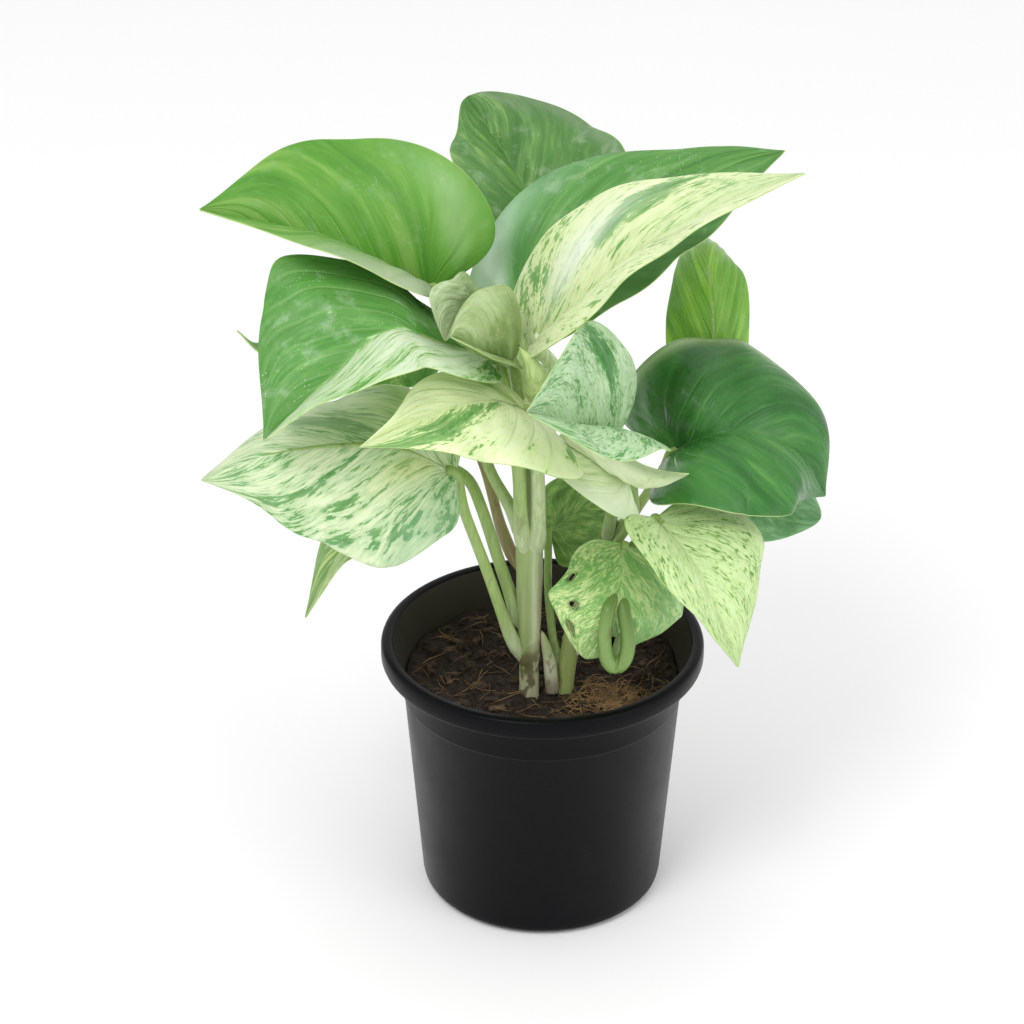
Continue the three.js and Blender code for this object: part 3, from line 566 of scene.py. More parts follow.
# Each leaf's rib from base to tip, points that its margins pass through, and its stalk from the
# stem, as in the solids
SHAPES = {
    "leaf_upper_left": dict(
        rib=[[-38, -8, 248], [-69, -14, 266], [-92, -18, 276], [-117, -26, 287]],
        left=[[-50, -44, 268], [-78, -50, 284]],
        right=[[-27, 8, 286], [-64, 10, 298], [-97, -6, 296]],
        stalk=[[-7, -15, 148], [-11, -14, 164], [-20, -9, 181], [-28, -5, 211], [-38, -8, 248]],
        stalk_radius=2.1, lobe=[5, 20], bulge=[0.1, 0.12]),
    "leaf_top_back": dict(
        rib=[[3, 50, 243], [-9, 66, 260], [-19, 86, 269], [-28, 98, 279]],
        left=[[-33, 58, 269], [-31, 88, 275]],
        right=[[30, 60, 273], [17, 76, 277], [-5, 92, 281]],
        stalk=[[-5, -14, 197], [-4, 12, 206], [1, 38, 228], [3, 50, 243]],
        stalk_radius=2.0, lobe=[4, 12], bulge=[0.06, 0.06], taper=0.6),
    "leaf_upper_right_green": dict(
        rib=[[-13, 6, 232], [8, 12, 256], [37, 16, 272], [63, 12, 286], [83, 4, 296]],
        left=[[-15, 28, 263], [0, 36, 273], [20, 38, 280], [51, 28, 287]],
        right=[[22, -6, 240], [44, -8, 259], [65, -4, 278]],
        stalk=[[-6, -16, 181], [-11, -10, 195], [-12, -4, 210], [-11, 3, 220], [-13, 6, 232]],
        stalk_radius=2.1, lobe=[16, 10], bulge=[0.1, 0.06]),
    "leaf_upper_right_cream": dict(
        rib=[[-5, -20, 233], [15, -31, 258], [34, -40, 280], [59, -53, 299], [83, -68, 318]],
        left=[[0, -8, 270], [19, -14, 288], [43, -28, 300], [65, -48, 310]],
        right=[[15, -60, 264], [32, -68, 285], [54, -74, 305]],
        stalk=[[1, -15, 189], [0, -14, 200], [2, -12, 211], [3, -12, 221], [-3, -17, 232]],
        stalk_radius=3.6, lobe=[12, 2], bulge=[0.12, 0.1]),
    "leaf_left_green": dict(
        rib=[[-17, -28, 231], [-36, -42, 245], [-53, -52, 254], [-72, -64, 242], [-94, -76, 225]],
        left=[[-37, -66, 247], [-58, -84, 249], [-78, -84, 241]],
        right=[[-37, -14, 243], [-64, -20, 265], [-93, -36, 270], [-95, -62, 241]],
        stalk=[[-6, -18, 147], [-8, -20, 162], [-9, -24, 187], [-13, -23, 214], [-17, -28, 231]],
        stalk_radius=2.6, lobe=[4, 8], bulge=[0.04, 0.1]),
    "leaf_lower_left": dict(
        rib=[[-31, -36, 191], [-51, -46, 207], [-73, -54, 212], [-96, -60, 211], [-117, -64, 204]],
        left=[[-35, -50, 175], [-51, -58, 167], [-74, -64, 178], [-94, -66, 192]],
        right=[[-44, -16, 213], [-75, -16, 209], [-98, -36, 209]],
        stalk=[[-7, -17, 102], [-13, -19, 119], [-21, -24, 148], [-28, -30, 173], [-31, -36, 191]],
        stalk_radius=2.2, lobe=[14, 10], bulge=[0.1, 0.08]),
    "leaf_hanging": dict(
        rib=[[-35, 0, 175], [-52, 8, 166], [-73, 12, 136], [-89, 14, 103]],
        left=[[-53, -20, 156], [-73, -8, 138]],
        right=[[-72, 34, 143], [-84, 30, 123]],
        stalk=[[-7, -13, 113], [-16, -14, 144], [-22, -12, 164], [-27, -6, 173], [-35, 0, 175]],
        stalk_radius=2.4, lobe=[6, 6], bulge=[0.05, 0.05]),
    "leaf_front_cream": dict(
        rib=[[-5, -32, 213], [-19, -48, 226], [-37, -64, 230], [-62, -84, 227]],
        left=[[9, -67, 206], [-15, -87, 222], [-38, -92, 230]],
        right=[[-28, -42, 235], [-44, -60, 238], [-53, -76, 232]],
        stalk=[[-3, -18, 147], [-2, -20, 162], [-2, -24, 179], [-3, -28, 201], [-5, -32, 213]],
        stalk_radius=2.7, lobe=[17, 3], bulge=[0.12, 0.1]),
    "leaf_centre_speckled": dict(
        rib=[[25, -34, 205], [15, -52, 217], [5, -74, 232], [-7, -98, 247]],
        left=[[41, -62, 215], [19, -88, 226], [4, -100, 241]],
        right=[[28, -34, 238], [14, -46, 255], [3, -78, 255]],
        stalk=[[23, 0, 142], [25, -10, 169], [25, -34, 205]],
        stalk_radius=2.0, lobe=[10, 10], bulge=[0.1, 0.1]),
    "leaf_folded_pale": dict(
        rib=[[30, -26, 184], [22, -26, 189], [14, -20, 192], [6, -12, 193]],
        left=[[25, -40, 177], [17, -42, 183]],
        right=[[45, -48, 198], [31, -48, 204], [18, -34, 201]],
        stalk=[[21, -2, 136], [32, -12, 160], [32, -22, 177], [30, -26, 184]],
        stalk_radius=1.6, lobe=[10, 7], bulge=[0.1, 0.15], taper=0.6),
    "leaf_right_speckled": dict(
        rib=[[39, -38, 175], [51, -52, 166], [59, -60, 153], [68, -62, 128]],
        left=[[78, -32, 160], [73, -52, 145]],
        right=[[28, -56, 179], [37, -68, 172], [54, -68, 150]],
        stalk=[[21, -4, 129], [33, -4, 145], [38, -20, 162], [39, -38, 175]],
        stalk_radius=1.8, lobe=[8, 8], bulge=[0.1, 0.08]),
    "leaf_right_dark": dict(
        rib=[[46, 0, 181], [59, -11, 193], [73, -12, 195], [92, -8, 185], [102, -2, 164]],
        left=[[33, 14, 206], [63, 26, 214], [88, 18, 204]],
        right=[[47, -42, 183], [68, -42, 179], [89, -24, 172]],
        stalk=[[25, 1, 142], [35, -4, 162], [43, -2, 175], [46, 0, 181]],
        stalk_radius=2.0, lobe=[26, 5], bulge=[0.14, 0.1]),
    "leaf_right_upright": dict(
        rib=[[62, 30, 183], [62, 36, 217], [60, 52, 234], [60, 70, 234], [61, 90, 223]],
        left=[[45, 42, 214], [50, 60, 228]],
        right=[[76, 42, 210], [71, 60, 228]],
        stalk=[[25, 2, 145], [43, 18, 160], [62, 30, 183]],
        stalk_radius=1.7, lobe=[4, 4], bulge=[0.08, 0.08], taper=0.7),
    "leaf_right_under": dict(
        rib=[[66, 16, 165], [84, 14, 154], [102, 8, 149]],
        left=[[99, 30, 151]],
        right=[[83, 4, 142]],
        stalk=[[16, -8, 119], [40, 18, 138], [66, 16, 165]],
        stalk_radius=1.6, lobe=[4, 4], bulge=[0.1, 0.1], taper=0.7),
    "leaf_low_torn": dict(
        rib=[[29, -16, 152], [27, -32, 142], [23, -37, 131], [15, -36, 116]],
        left=[[51, -12, 127]],
        right=[[9, -28, 150], [3, -35, 138]],
        stalk=[[11, -13, 102], [21, -15, 123], [29, -16, 152]],
        stalk_radius=1.5, lobe=[8, 2], bulge=[0.12, 0.1], taper=0.7),
    "leaf_inner_shaded": dict(
        rib=[[2, 10, 143], [12, 20, 145], [22, 28, 146], [31, 34, 146]],
        left=[[9, 26, 158]],
        right=[[18, 12, 130]],
        stalk=[[8, -13, 92], [4, -10, 108], [2, -5, 126], [2, 3, 136], [2, 10, 143]],
        stalk_radius=1.6, lobe=[4, 6], bulge=[0.08, 0.08], taper=0.7),
    "leaf_young_small": dict(
        rib=[[-24, -18, 253], [-29, -33, 254], [-34, -47, 248]],
        left=[[-28, -37, 250]],
        right=[[-31, -28, 263], [-39, -43, 260]],
        stalk=[[-6, -15, 201], [-8, -12, 207], [-16, -6, 225], [-20, -10, 241], [-24, -18, 253]],
        stalk_radius=1.3, lobe=[0, 2], bulge=[0.1, 0.1], taper=0.8),
    "leaf_young_cupped": dict(
        rib=[[-11, -27, 230], [-15, -34, 235], [-23, -46, 244], [-32, -58, 255]],
        left=[[-25, -56, 250]],
        right=[[-17, -30, 261], [-27, -45, 262]],
        stalk=[[-8, -17, 203], [-9, -17, 212], [-10, -21, 222], [-11, -27, 230]],
        stalk_radius=2.2, lobe=[0, 1], bulge=[0.1, 0.15], taper=0.6),
    "leaf_left_behind": dict(
        rib=[[-37, 4, 222], [-61, -4, 232], [-81, -20, 235], [-97, -32, 238], [-105, -38, 248]],
        left=[[-53, -30, 223], [-77, -40, 232]],
        right=[[-55, 20, 236], [-83, 6, 239]],
        stalk=[[-8, -14, 138], [-15, -5, 152], [-21, 2, 173], [-28, 4, 192], [-37, 4, 222]],
        stalk_radius=2.0, lobe=[6, 6], bulge=[0.08, 0.08], taper=1.8),
}


BLADE_COLUMNS, BLADE_ROWS = 36, 48
ROW_CROWDING = 1.2
BLADE_THICKNESS = 0.6
# Where the scar round a hole begins and ends, as shares of the hole's size
SCAR_EDGE = (1.9, 1.1)
HOLE_ROUGHNESS, HOLE_TEETH = 0.25, 40
# A point of the left half that tells which way a blade faces
CHECK_X, CHECK_P = 0.3, 0.4
# Where a stalk meets its blade's rib, and the midrib that runs on under the blade
STALK_JOINT = 0.05
MIDRIB_SHARE = 0.72
MIDRIB_START, MIDRIB_LENGTH, MIDRIB_POINTS = 0.03, 0.86, 9


def weight_of(spot, p, signed):
    """How much a spot (p, signed, size across the veins, size along them) tells at a point."""
    spot_p, spot_signed, across, along = spot
    off = vein_place(p, signed) - vein_place(spot_p, spot_signed)
    same_half = smooth(-0.06, 0.06, signed * math.copysign(1, spot_signed))
    return hill(off, 0, across) * hill(signed, spot_signed, along) * same_half


def stain_and_painted_light_at(stains_and_painted_light, p, signed):
    """Red, green, blue and strength of the stains, painted shade and painted highlights at a point
    of a blade.
    """
    total, clear = 1e-9, 1.0
    mean = Vector((0, 0, 0))
    for *spot, code, strength in stains_and_painted_light:
        weight = weight_of(spot, p, signed)
        mean += Vector(colour(code)[:3]) * weight
        total += weight
        clear *= 1 - weight * strength
    return (*(mean / total), 1 - clear)


def blade_mesh(blade, cream, spots, stains_and_painted_light, holes, seed):
    """A blade's one-sided mesh, each corner with its share of cream, its stains, painted shade and
    highlights, and its scar.
    """
    bm = bmesh.new()
    share = bm.verts.layers.float.new("cream")
    stain_and_painted_light = bm.verts.layers.float_color.new("stain_and_painted_light")
    scar = bm.verts.layers.float.new("scar")
    made = sheet(bm, BLADE_COLUMNS, BLADE_ROWS,
                 lambda x, y: blade.point(y ** ROW_CROWDING, 2 * x - 1))
    uv = bm.loops.layers.uv["leaf"]
    for face in bm.faces:
        for loop in face.loops:
            x, y = loop[uv].uv
            loop[uv].uv = (x, y ** ROW_CROWDING)
    for v in made:
        x, p = v.link_loops[0][uv].uv
        signed = 2 * x - 1
        amount = lerp(cream[0], cream[1], smooth(-0.06, 0.06, signed))
        for *spot, change in spots:
            amount += change * weight_of(spot, p, signed)
        v[share] = clamp(amount)
        v[stain_and_painted_light] = stain_and_painted_light_at(stains_and_painted_light, p, signed)
        for hole_p, hole_signed, length, width in holes:
            far = math.hypot((p - hole_p) / length, (signed - hole_signed) / width)
            v[scar] = max(v[scar], smooth(*SCAR_EDGE, far))
    for hole_p, hole_signed, length, width in holes:
        gone = []
        for face in bm.faces:
            x, p = [sum(loop[uv].uv[i] for loop in face.loops) / len(face.loops) for i in (0, 1)]
            teeth = noise.noise(Vector((x * HOLE_TEETH, p * HOLE_TEETH, seed)))
            ragged = 1 + HOLE_ROUGHNESS * teeth
            if math.hypot((p - hole_p) / length, (2 * x - 1 - hole_signed) / width) < ragged:
                gone.append(face)
        bmesh.ops.delete(bm, geom=gone, context="FACES")
    bmesh.ops.remove_doubles(bm, verts=bm.verts[:], dist=2e-6)

    def off_check(face):
        x, p = face.loops[0][uv].uv
        return abs(x - CHECK_X) + abs(p - CHECK_P)

    checked = min(bm.faces, key=off_check)
    checked.normal_update()
    if checked.normal.dot(blade.upper_side(0, CHECK_P)) < 0:
        bmesh.ops.reverse_faces(bm, faces=bm.faces[:])
    return bm


def leaf(name, tissue, cream, seed, spots=(), stains_and_painted_light=(), holes=(), streaks=24.0, stretch=4.0,
         flecks=0.3, softness=0.02, dust=0.25, roughness=0.42,
         stalk_colours=("#cfdcb4", "#a3bb74", "#93b062"), ripple=0.3, ruffle=0.6, marks=0.3):
    """One leaf: blade with skins, and its stalk that runs on under it as the midrib.

    cream gives the share of cream tissue in the left and right half. Each spot is (p, signed,
    size across the veins, size along them) and a change of that share, and each stain the same
    with a colour and a strength instead of the change; besides the leaf's own colour marks these
    stains also carry painted shade and painted highlights. Each hole is (p, signed, length, width).
    """
    shape = dict(SHAPES[name])
    stalk, stalk_radius = shape.pop("stalk"), shape.pop("stalk_radius")
    blade = Blade(**shape, ripple=ripple, ruffle=ruffle, turn=seed * 0.13)
    look = dict(seed=seed, streaks=streaks, stretch=stretch, flecks=flecks, softness=softness)
    upper = leaf_face(name + " upper", tissue, dust=dust, roughness=roughness, **look)
    under = leaf_face(name + " under", tissue, dust=0.0, roughness=roughness + 0.1, under=True,
                      **look)
    bm = blade_mesh(blade, cream, spots, stains_and_painted_light, holes, seed)
    obj = piece(name + "_blade", bm, [upper, under, RIM], node=name)
    solid = obj.modifiers.new("Thickness", "SOLIDIFY")
    solid.thickness = BLADE_THICKNESS * MM
    solid.offset = 0.0
    solid.material_offset = 1
    solid.material_offset_rim = 2
    fine = obj.modifiers.new("Smoothing", "SUBSURF")
    fine.levels = fine.render_levels = 1

    bm = bmesh.new()
    leaf_stalk(bm, [*stalk, blade.rib.point(STALK_JOINT) / MM], stalk_radius)
    middle_rib(bm, blade, stalk_radius * MIDRIB_SHARE)
    skin = stalk_skin(name + " stalk", *stalk_colours, seed, marks)
    piece(name + "_stalk", bm, [skin], node=name)


def leaf_stalk(bm, points, radius):
    """A stalk with a pointed foot, a swelling over it, a smaller one at the blade, and a groove."""
    top_radius = min(radius * 0.86, 2.2)

    def radius_at(p, turn):
        foot = lerp(0.3, 1.0, smooth(0.0, 0.09, p))
        flare = foot + 0.25 * hill(p, 0.12, 0.1) + 0.12 * hill(p, 0.9, 0.07)
        groove = 1 - 0.14 * hill(math.sin(turn), 1.0, 0.35)
        return lerp(radius, top_radius, p) * MM * flare * groove

    tube(bm, SmoothPath(points), radius_at, 14, 36)


def middle_rib(bm, blade, radius):
    """The stalk's way on under the blade, thinning towards the tip."""
    spots = []
    for i in range(MIDRIB_POINTS):
        p = MIDRIB_START + MIDRIB_LENGTH * i / (MIDRIB_POINTS - 1)
        down = -blade.upper_side(0, p) - blade.upper_side(1, p)
        down = down.normalized() if down.length > 1e-3 else Vector((0, 0, -1))
        sunk = radius * (1 - p) ** 0.8 * 0.55 + 0.1
        spots.append(blade.rib.point(p) / MM + down * sunk)
    tube(bm, SmoothPath(spots), lambda p, turn: (radius * (1 - 0.9 * p) ** 0.8) * MM, 10, 30)


RIM = leaf_rim()

leaf("leaf_upper_left", tissue="fresh", cream=(0.4, 0.42), seed=1.0, streaks=9.0, stretch=1.2,
     softness=0.08, flecks=0.1,
     # Painted shade: the dark green dashes along the crease of the right half. Painted sheen: the
     # two bluish-white spots near the right lobe.
     stains_and_painted_light=[(0.25, -0.85, 0.22, 0.8, "#b2bfa0", 0.9), (0.10, 0.20, 0.03, 0.15, "#437c32", 0.6),
             (0.20, 0.36, 0.03, 0.12, "#437c32", 0.6), (0.31, 0.52, 0.03, 0.12, "#437c32", 0.6),
             (0.42, 0.68, 0.03, 0.15, "#437c32", 0.6), (0.15, 0.72, 0.12, 0.4, "#78ab45", 0.6),
             (0.24, 0.82, 0.06, 0.12, "#a6c49c", 0.4), (0.14, 0.62, 0.06, 0.12, "#a6c49c", 0.3)])
leaf("leaf_top_back", tissue="deep", cream=(0.42, 0.38), seed=2.0, dust=0.6, streaks=9.0,
     stretch=1.4, softness=0.07,
     stains_and_painted_light=[(0.50, -0.22, 0.03, 0.3, "#8dbb58", 0.5), (0.68, -0.3, 0.03, 0.15, "#8dbb58", 0.45),
             (0.88, 0.71, 0.2, 0.12, "#7e8c76", 0.6), (0.60, 0.92, 0.4, 0.1, "#7e8c76", 0.6)])
leaf("leaf_upper_right_green", tissue="long", cream=(0.4, 0.3), seed=3.0, dust=0.6, streaks=12.0,
     stretch=1.4, softness=0.07,
     # Painted sheen: the pale mint band near the base of the left half and the faint spot beside
     # it. Painted shade: the dark grey-green over the right half, under the cream leaf.
     stains_and_painted_light=[(0.17, -0.8, 0.06, 0.22, "#d6ead8", 1.0), (0.12, -0.55, 0.05, 0.2, "#d6ead8", 0.9),
             (0.30, -0.8, 0.08, 0.3, "#a9cfb0", 0.2), (0.5, 0.9, 0.5, 0.5, "#4f6e44", 0.6)])
leaf("leaf_upper_right_cream", tissue="cream", cream=(0.73, 0.76), seed=4.0, roughness=0.36,
     streaks=36.0, stretch=7.0, flecks=0.5,
     spots=[(0.45, -0.48, 0.05, 0.14, -0.95), (0.53, -0.72, 0.045, 0.22, -0.9),
            (0.12, -0.57, 0.05, 0.25, -0.2), (0.24, -0.74, 0.06, 0.25, -0.2),
            (0.16, -0.2, 0.08, 0.15, -0.3), (0.8, -0.6, 0.2, 0.3, -0.12)],
     # Painted highlight: the whitish patch in the middle of the left half.
     stains_and_painted_light=[(0.61, 0.53, 0.03, 0.22, "#a3b48a", 0.7), (0.3, -0.45, 0.12, 0.25, "#e6eee2", 0.8),
             (0.9, -0.5, 0.2, 0.8, "#bcd6aa", 0.4)],
     stalk_colours=("#dcebb4", "#e4f3c0", "#e8f5c8"), marks=0.0)
leaf("leaf_left_green", tissue="half", cream=(0.8, 0.04), seed=5.0, dust=0.8, streaks=30.0,
     stretch=5.0,
     spots=[(0.53, -0.57, 0.06, 0.16, -0.3), (0.68, -0.9, 0.06, 0.14, -0.3),
            (0.37, -0.51, 0.05, 0.16, -0.3), (0.05, -0.3, 0.08, 0.3, -0.4)],
     # Painted shade: both stains lay a flat green over the shaded fold band across the right half.
     stains_and_painted_light=[(0.42, 0.42, 0.09, 0.25, "#76ad5c", 0.6), (0.30, 0.22, 0.08, 0.2, "#76ad5c", 0.6)])
leaf("leaf_lower_left", tissue="marble", cream=(0.62, 0.78), seed=6.0, streaks=28.0, stretch=5.0,
     spots=[(0.5, 0.45, 0.08, 0.2, -0.6)],
     stains_and_painted_light=[(0.5, 0.55, 0.4, 0.6, "#edf5d6", 0.3), (0.16, -0.05, 0.1, 0.3, "#d8d990", 0.45),
             (0.12, -0.75, 0.12, 0.5, "#86ab8e", 0.35)])
leaf("leaf_hanging", tissue="lime", cream=(0.5, 0.4), seed=7.0, streaks=26.0, stretch=1.6)
leaf("leaf_front_cream", tissue="front", cream=(0.88, 0.92), seed=8.0, streaks=34.0, stretch=6.0,
     flecks=0.4,
     spots=[(0.85, -0.8, 0.14, 0.4, -0.7), (0.68, -0.36, 0.1, 0.25, -0.65),
            (0.46, -0.2, 0.06, 0.16, -0.55), (0.31, -0.12, 0.05, 0.1, -0.5),
            (0.13, -0.79, 0.05, 0.1, -0.9)],
     # Painted shade: the olive stain near the base of the right half, under the left green leaf's
     # base.
     stains_and_painted_light=[(0.20, 0.27, 0.06, 0.3, "#93ac5c", 0.75)],
     stalk_colours=("#c9d6ac", "#c3d3a2", "#b0c47c"))
leaf("leaf_centre_speckled", tissue="mint", cream=(0.66, 0.68), seed=9.0, streaks=36.0,
     stretch=10.0, flecks=0.5, softness=0.015,
     spots=[(0.41, 0.78, 0.04, 0.16, -0.8), (0.38, 0.62, 0.03, 0.16, -0.7)])
leaf("leaf_folded_pale", tissue="folded", cream=(0.9, 0.88), seed=10.0,
     # Painted shade: the dark olive inside the roll of the right margin, and the cream-olive band
     # on the right half under the centre speckled leaf.
     stains_and_painted_light=[(0.20, 0.97, 0.3, 0.12, "#7f9566", 0.75), (0.27, -0.82, 0.2, 0.4, "#e0ead4", 0.6),
             (0.54, 0.57, 0.14, 0.3, "#a9b67c", 0.7)])
leaf("leaf_right_speckled", tissue="speckled", cream=(0.74, 0.75), seed=11.0, stretch=7.0,
     flecks=0.6, softness=0.012)
leaf("leaf_right_dark", tissue="glossy", cream=(0.3, 0.3), seed=12.0, roughness=0.24, dust=0.1,
     streaks=8.0, stretch=1.2, softness=0.08,
     # Painted shade: the deep green in the valley near the base of the left half. Painted sheen:
     # the lighter green along the rib and the pale band at the left margin.
     stains_and_painted_light=[(0.22, -0.5, 0.07, 0.4, "#26521f", 0.8), (0.18, -0.2, 0.05, 0.2, "#26521f", 0.7),
             (0.50, 0.02, 0.05, 0.2, "#7fb06a", 0.4), (0.22, -0.95, 0.3, 0.06, "#b3c796", 0.7)])
leaf("leaf_right_upright", tissue="bright", cream=(0.42, 0.4), seed=13.0, roughness=0.3,
     streaks=12.0, stretch=1.2, softness=0.07,
     stains_and_painted_light=[(0.38, -0.38, 0.04, 0.3, "#b0d565", 0.4)])
leaf("leaf_right_under", tissue="under", cream=(0.6, 0.6), seed=14.0, streaks=8.0, softness=0.08)
leaf("leaf_low_torn", tissue="torn", cream=(0.5, 0.55), seed=15.0, streaks=26.0, stretch=7.0,
     flecks=0.5,
     # Painted shade: the darker green over the left half, under the right speckled leaf.
     stains_and_painted_light=[(0.5, -0.6, 0.3, 0.5, "#6b955a", 0.55), (0.75, -0.15, 0.1, 0.25, "#44662f", 0.7)],
     holes=[(0.39, 0.85, 0.03, 0.04), (0.59, 0.6, 0.03, 0.05), (0.80, 0.68, 0.04, 0.07)])
leaf("leaf_inner_shaded", tissue="shaded", cream=(0.5, 0.5), seed=16.0, streaks=10.0, softness=0.08)
leaf("leaf_young_small", tissue="young", cream=(0.6, 0.6), seed=17.0, ripple=0.1, ruffle=0.2,
     streaks=6.0, softness=0.1,
     # Painted shade: the grey-green stain across the middle of the blade; the yellow at the tip is
     # the leaf's own colour.
     stains_and_painted_light=[(0.93, 0.1, 0.08, 0.8, "#cfcb78", 0.7), (0.4, 0.15, 0.08, 0.3, "#7c9468", 0.5)])
leaf("leaf_young_cupped", tissue="cupped", cream=(0.7, 0.7), seed=18.0, ripple=0.1, ruffle=0.2,
     streaks=6.0, softness=0.1,
     # Painted shade: the two dark olive stains inside the cup.
     stains_and_painted_light=[(0.2, 0.45, 0.10, 0.2, "#5e7a3e", 0.55), (0.25, 0.75, 0.06, 0.1, "#5e7a3e", 0.45),
             (0.6, 0.8, 0.3, 0.2, "#c4d6a8", 0.7), (0.12, 0.1, 0.05, 0.25, "#cfe0b0", 0.7),
             (0.75, 0.25, 0.08, 0.4, "#cfe0b0", 0.5)])
leaf("leaf_left_behind", tissue="torn", cream=(0.3, 0.25), seed=19.0,
     stalk_colours=("#a98f72", "#a3936a", "#93a062"))


# ------------------------------------------------------------------ stems

# Radius of the main stem against height: thin in the mix, a ring at its foot, thick under the crown
MAIN_STEM = [
    (3.6, 62), (3.7, 92), (3.6, 102), (4.2, 105), (3.9, 109), (4.4, 125), (4.9, 140),
    (5.0, 147), (4.9, 155), (4.4, 170), (3.6, 190), (2.4, 206), (1.2, 214),
]
MAIN_STEM_FOOT = (-5, -16)
RIGHT_STEM = [[8, -14, 62], [8, -14, 89], [11, -11, 110], [20, -3, 136], [26, 3, 152]]
RIGHT_STEM_RADIUS = 3.4
RIGHT_STEM_RINGS = (0.5, 0.72, 0.93)
# Radius of the rolled leaf against height
NEW_LEAF = [(2.2, 207), (3.2, 214), (4.6, 221), (4.2, 229), (2.2, 236), (0.4, 242)]


def profile_at(profile, height):
    for (r0, z0), (r1, z1) in zip(profile, profile[1:]):
        if height <= z1:
            return lerp(r0, r1, smooth(z0, z1, height))
    return profile[-1][0]


def main_stem():
    bm = bmesh.new()
    foot_x, foot_y = MAIN_STEM_FOOT

    def place(x, y):
        turn, height = 2 * math.pi * x, lerp(MAIN_STEM[0][1], MAIN_STEM[-1][1], y)
        radius = profile_at(MAIN_STEM, height)
        seam = hill(math.sin(turn) + 1, 0.0, 0.12) * smooth(106, 116, height) * 0.16
        uneven = 0.05 * noise.noise(Vector((math.cos(turn) * 2, math.sin(turn) * 2, height / 9)))
        radius *= 1 - seam + uneven
        return Vector((foot_x + radius * math.cos(turn), foot_y + radius * math.sin(turn),
                       height)) * MM

    sheet(bm, 32, 120, place, wrap=True)
    foot_sheath = SmoothPath([[3.6, -16, 90], [3.0, -17, 98], [2.0, -17, 106], [-0.6, -16, 116]])
    tube(bm, foot_sheath, lambda p, turn: 2.5 * MM * (1 - p ** 3) ** 0.6, 14, 24)
    piece("stem_main_skin", bm, [main_stem_skin()], node="stem_main")


def main_stem_skin():
    """Green with a pale sheath on its right side, and brown about the ring at its foot."""
    material, t, shader = new_material(
        "Main stem skin", 0.4, Subsurface_Weight=0.15, Subsurface_Radius=(0.003, 0.004, 0.001),
        Subsurface_Scale=1.0)
    spot = t.object_place()
    across, _, height = t.node("ShaderNodeSeparateXYZ", {"Vector": spot}).outputs

    def upwards(low, high):
        return t.ramp(height, low * MM, high * MM)

    def rightwards(low, high):
        return t.ramp(across, low * MM, high * MM)

    def streaked(x, y, z):
        return t.noise(t.node("ShaderNodeMapping", {"Vector": spot, "Scale": (x, y, z)}), 1.0, 3.0)

    right_side = rightwards(-5.5, -3)
    skin = t.mix(right_side, colour("#9fb174"), colour("#ccd3a9"))
    skin = t.mix(t.math("MULTIPLY", rightwards(-2.2, -0.6), 0.8), skin, colour("#c9b5a2"))
    drift = t.math("MULTIPLY_ADD", t.noise(spot, 220.0, 3.0), 16 * MM, height)
    crown = t.mix(right_side, colour("#9cb46c"), colour("#bfd09b"))
    skin = t.mix(t.ramp(drift, 138 * MM, 168 * MM), skin, crown)
    skin = t.mix(upwards(102, 96), skin, colour("#c2c39f"))
    stripes = streaked(700, 700, 30)
    skin = t.mix(t.ramp(stripes, 0.4, 0.7, 0.0, 0.25), skin, colour("#7b8c50"))
    marks = streaked(260, 260, 160)
    ring = t.math("MULTIPLY", upwards(97.5, 100.5), upwards(111.5, 107))
    ring = t.math("MULTIPLY", ring, rightwards(0, -1.5))
    flecks = t.math("MULTIPLY", t.ramp(marks, 0.5, 0.58), upwards(118, 100))
    brown = t.math("MAXIMUM", t.math("MULTIPLY", ring, t.ramp(marks, 0.36, 0.48)), flecks)
    skin = t.mix(t.math("MULTIPLY", brown, 0.8), skin, colour("#584a32"))
    sheath = t.mix(upwards(100, 92), colour("#d0d3b4"), colour("#a59c84"))
    sheath = t.mix(upwards(102, 110), sheath, colour("#a9bb84"))
    sheath = t.mix(t.ramp(marks, 0.55, 0.65, 0.0, 0.7), sheath, colour("#8b7a5c"))
    skin = t.mix(rightwards(-1, 1), skin, sheath)
    t.set(shader.inputs["Base Color"], skin)
    bumped(t, shader, stripes, 0.0003, 0.7)
    return material


def right_stem():
    bm = bmesh.new()

    def radius_at(p, turn):
        rings = sum(hill(p, place, 0.012) for place in RIGHT_STEM_RINGS)
        return (RIGHT_STEM_RADIUS + 0.3 * rings) * MM

    tube(bm, SmoothPath(RIGHT_STEM), radius_at, 20, 80)
    skin = stalk_skin("Right stem skin", "#b9bd92", "#a0ad6c", "#8fa45c", 31.0, 0.5)
    piece("stem_right_skin", bm, [skin], node="stem_right")


def curled_sheath():
    """A stalk sheath that hangs in a loop before the torn leaf, its ends tucked in behind it."""
    bm = bmesh.new()
    path = SmoothPath([[25, -30, 141], [23, -37.4, 137], [21.7, -40.4, 129], [22.4, -41.2, 120],
                       [25.8, -41.2, 115.8], [29.4, -40.8, 120], [30, -39.4, 128],
                       [28.4, -34.6, 136], [27.4, -27, 140]])

    def radius_at(p, turn):
        uneven = 0.06 * noise.noise(Vector((turn, p * 9, 4)))
        crease = 0.1 * hill(math.sin(turn + 1.2), 1.0, 0.3) + uneven
        return 2.55 * MM * (1 - crease + 0.15 * hill(p, 0.5, 0.15))

    tube(bm, path, radius_at, 18, 64)
    skin = stalk_skin("Sheath skin", "#6c8a46", "#7b9854", "#6c8a46", 37.0, 0.3)
    piece("sheath_curled_skin", bm, [skin], node="sheath_curled")


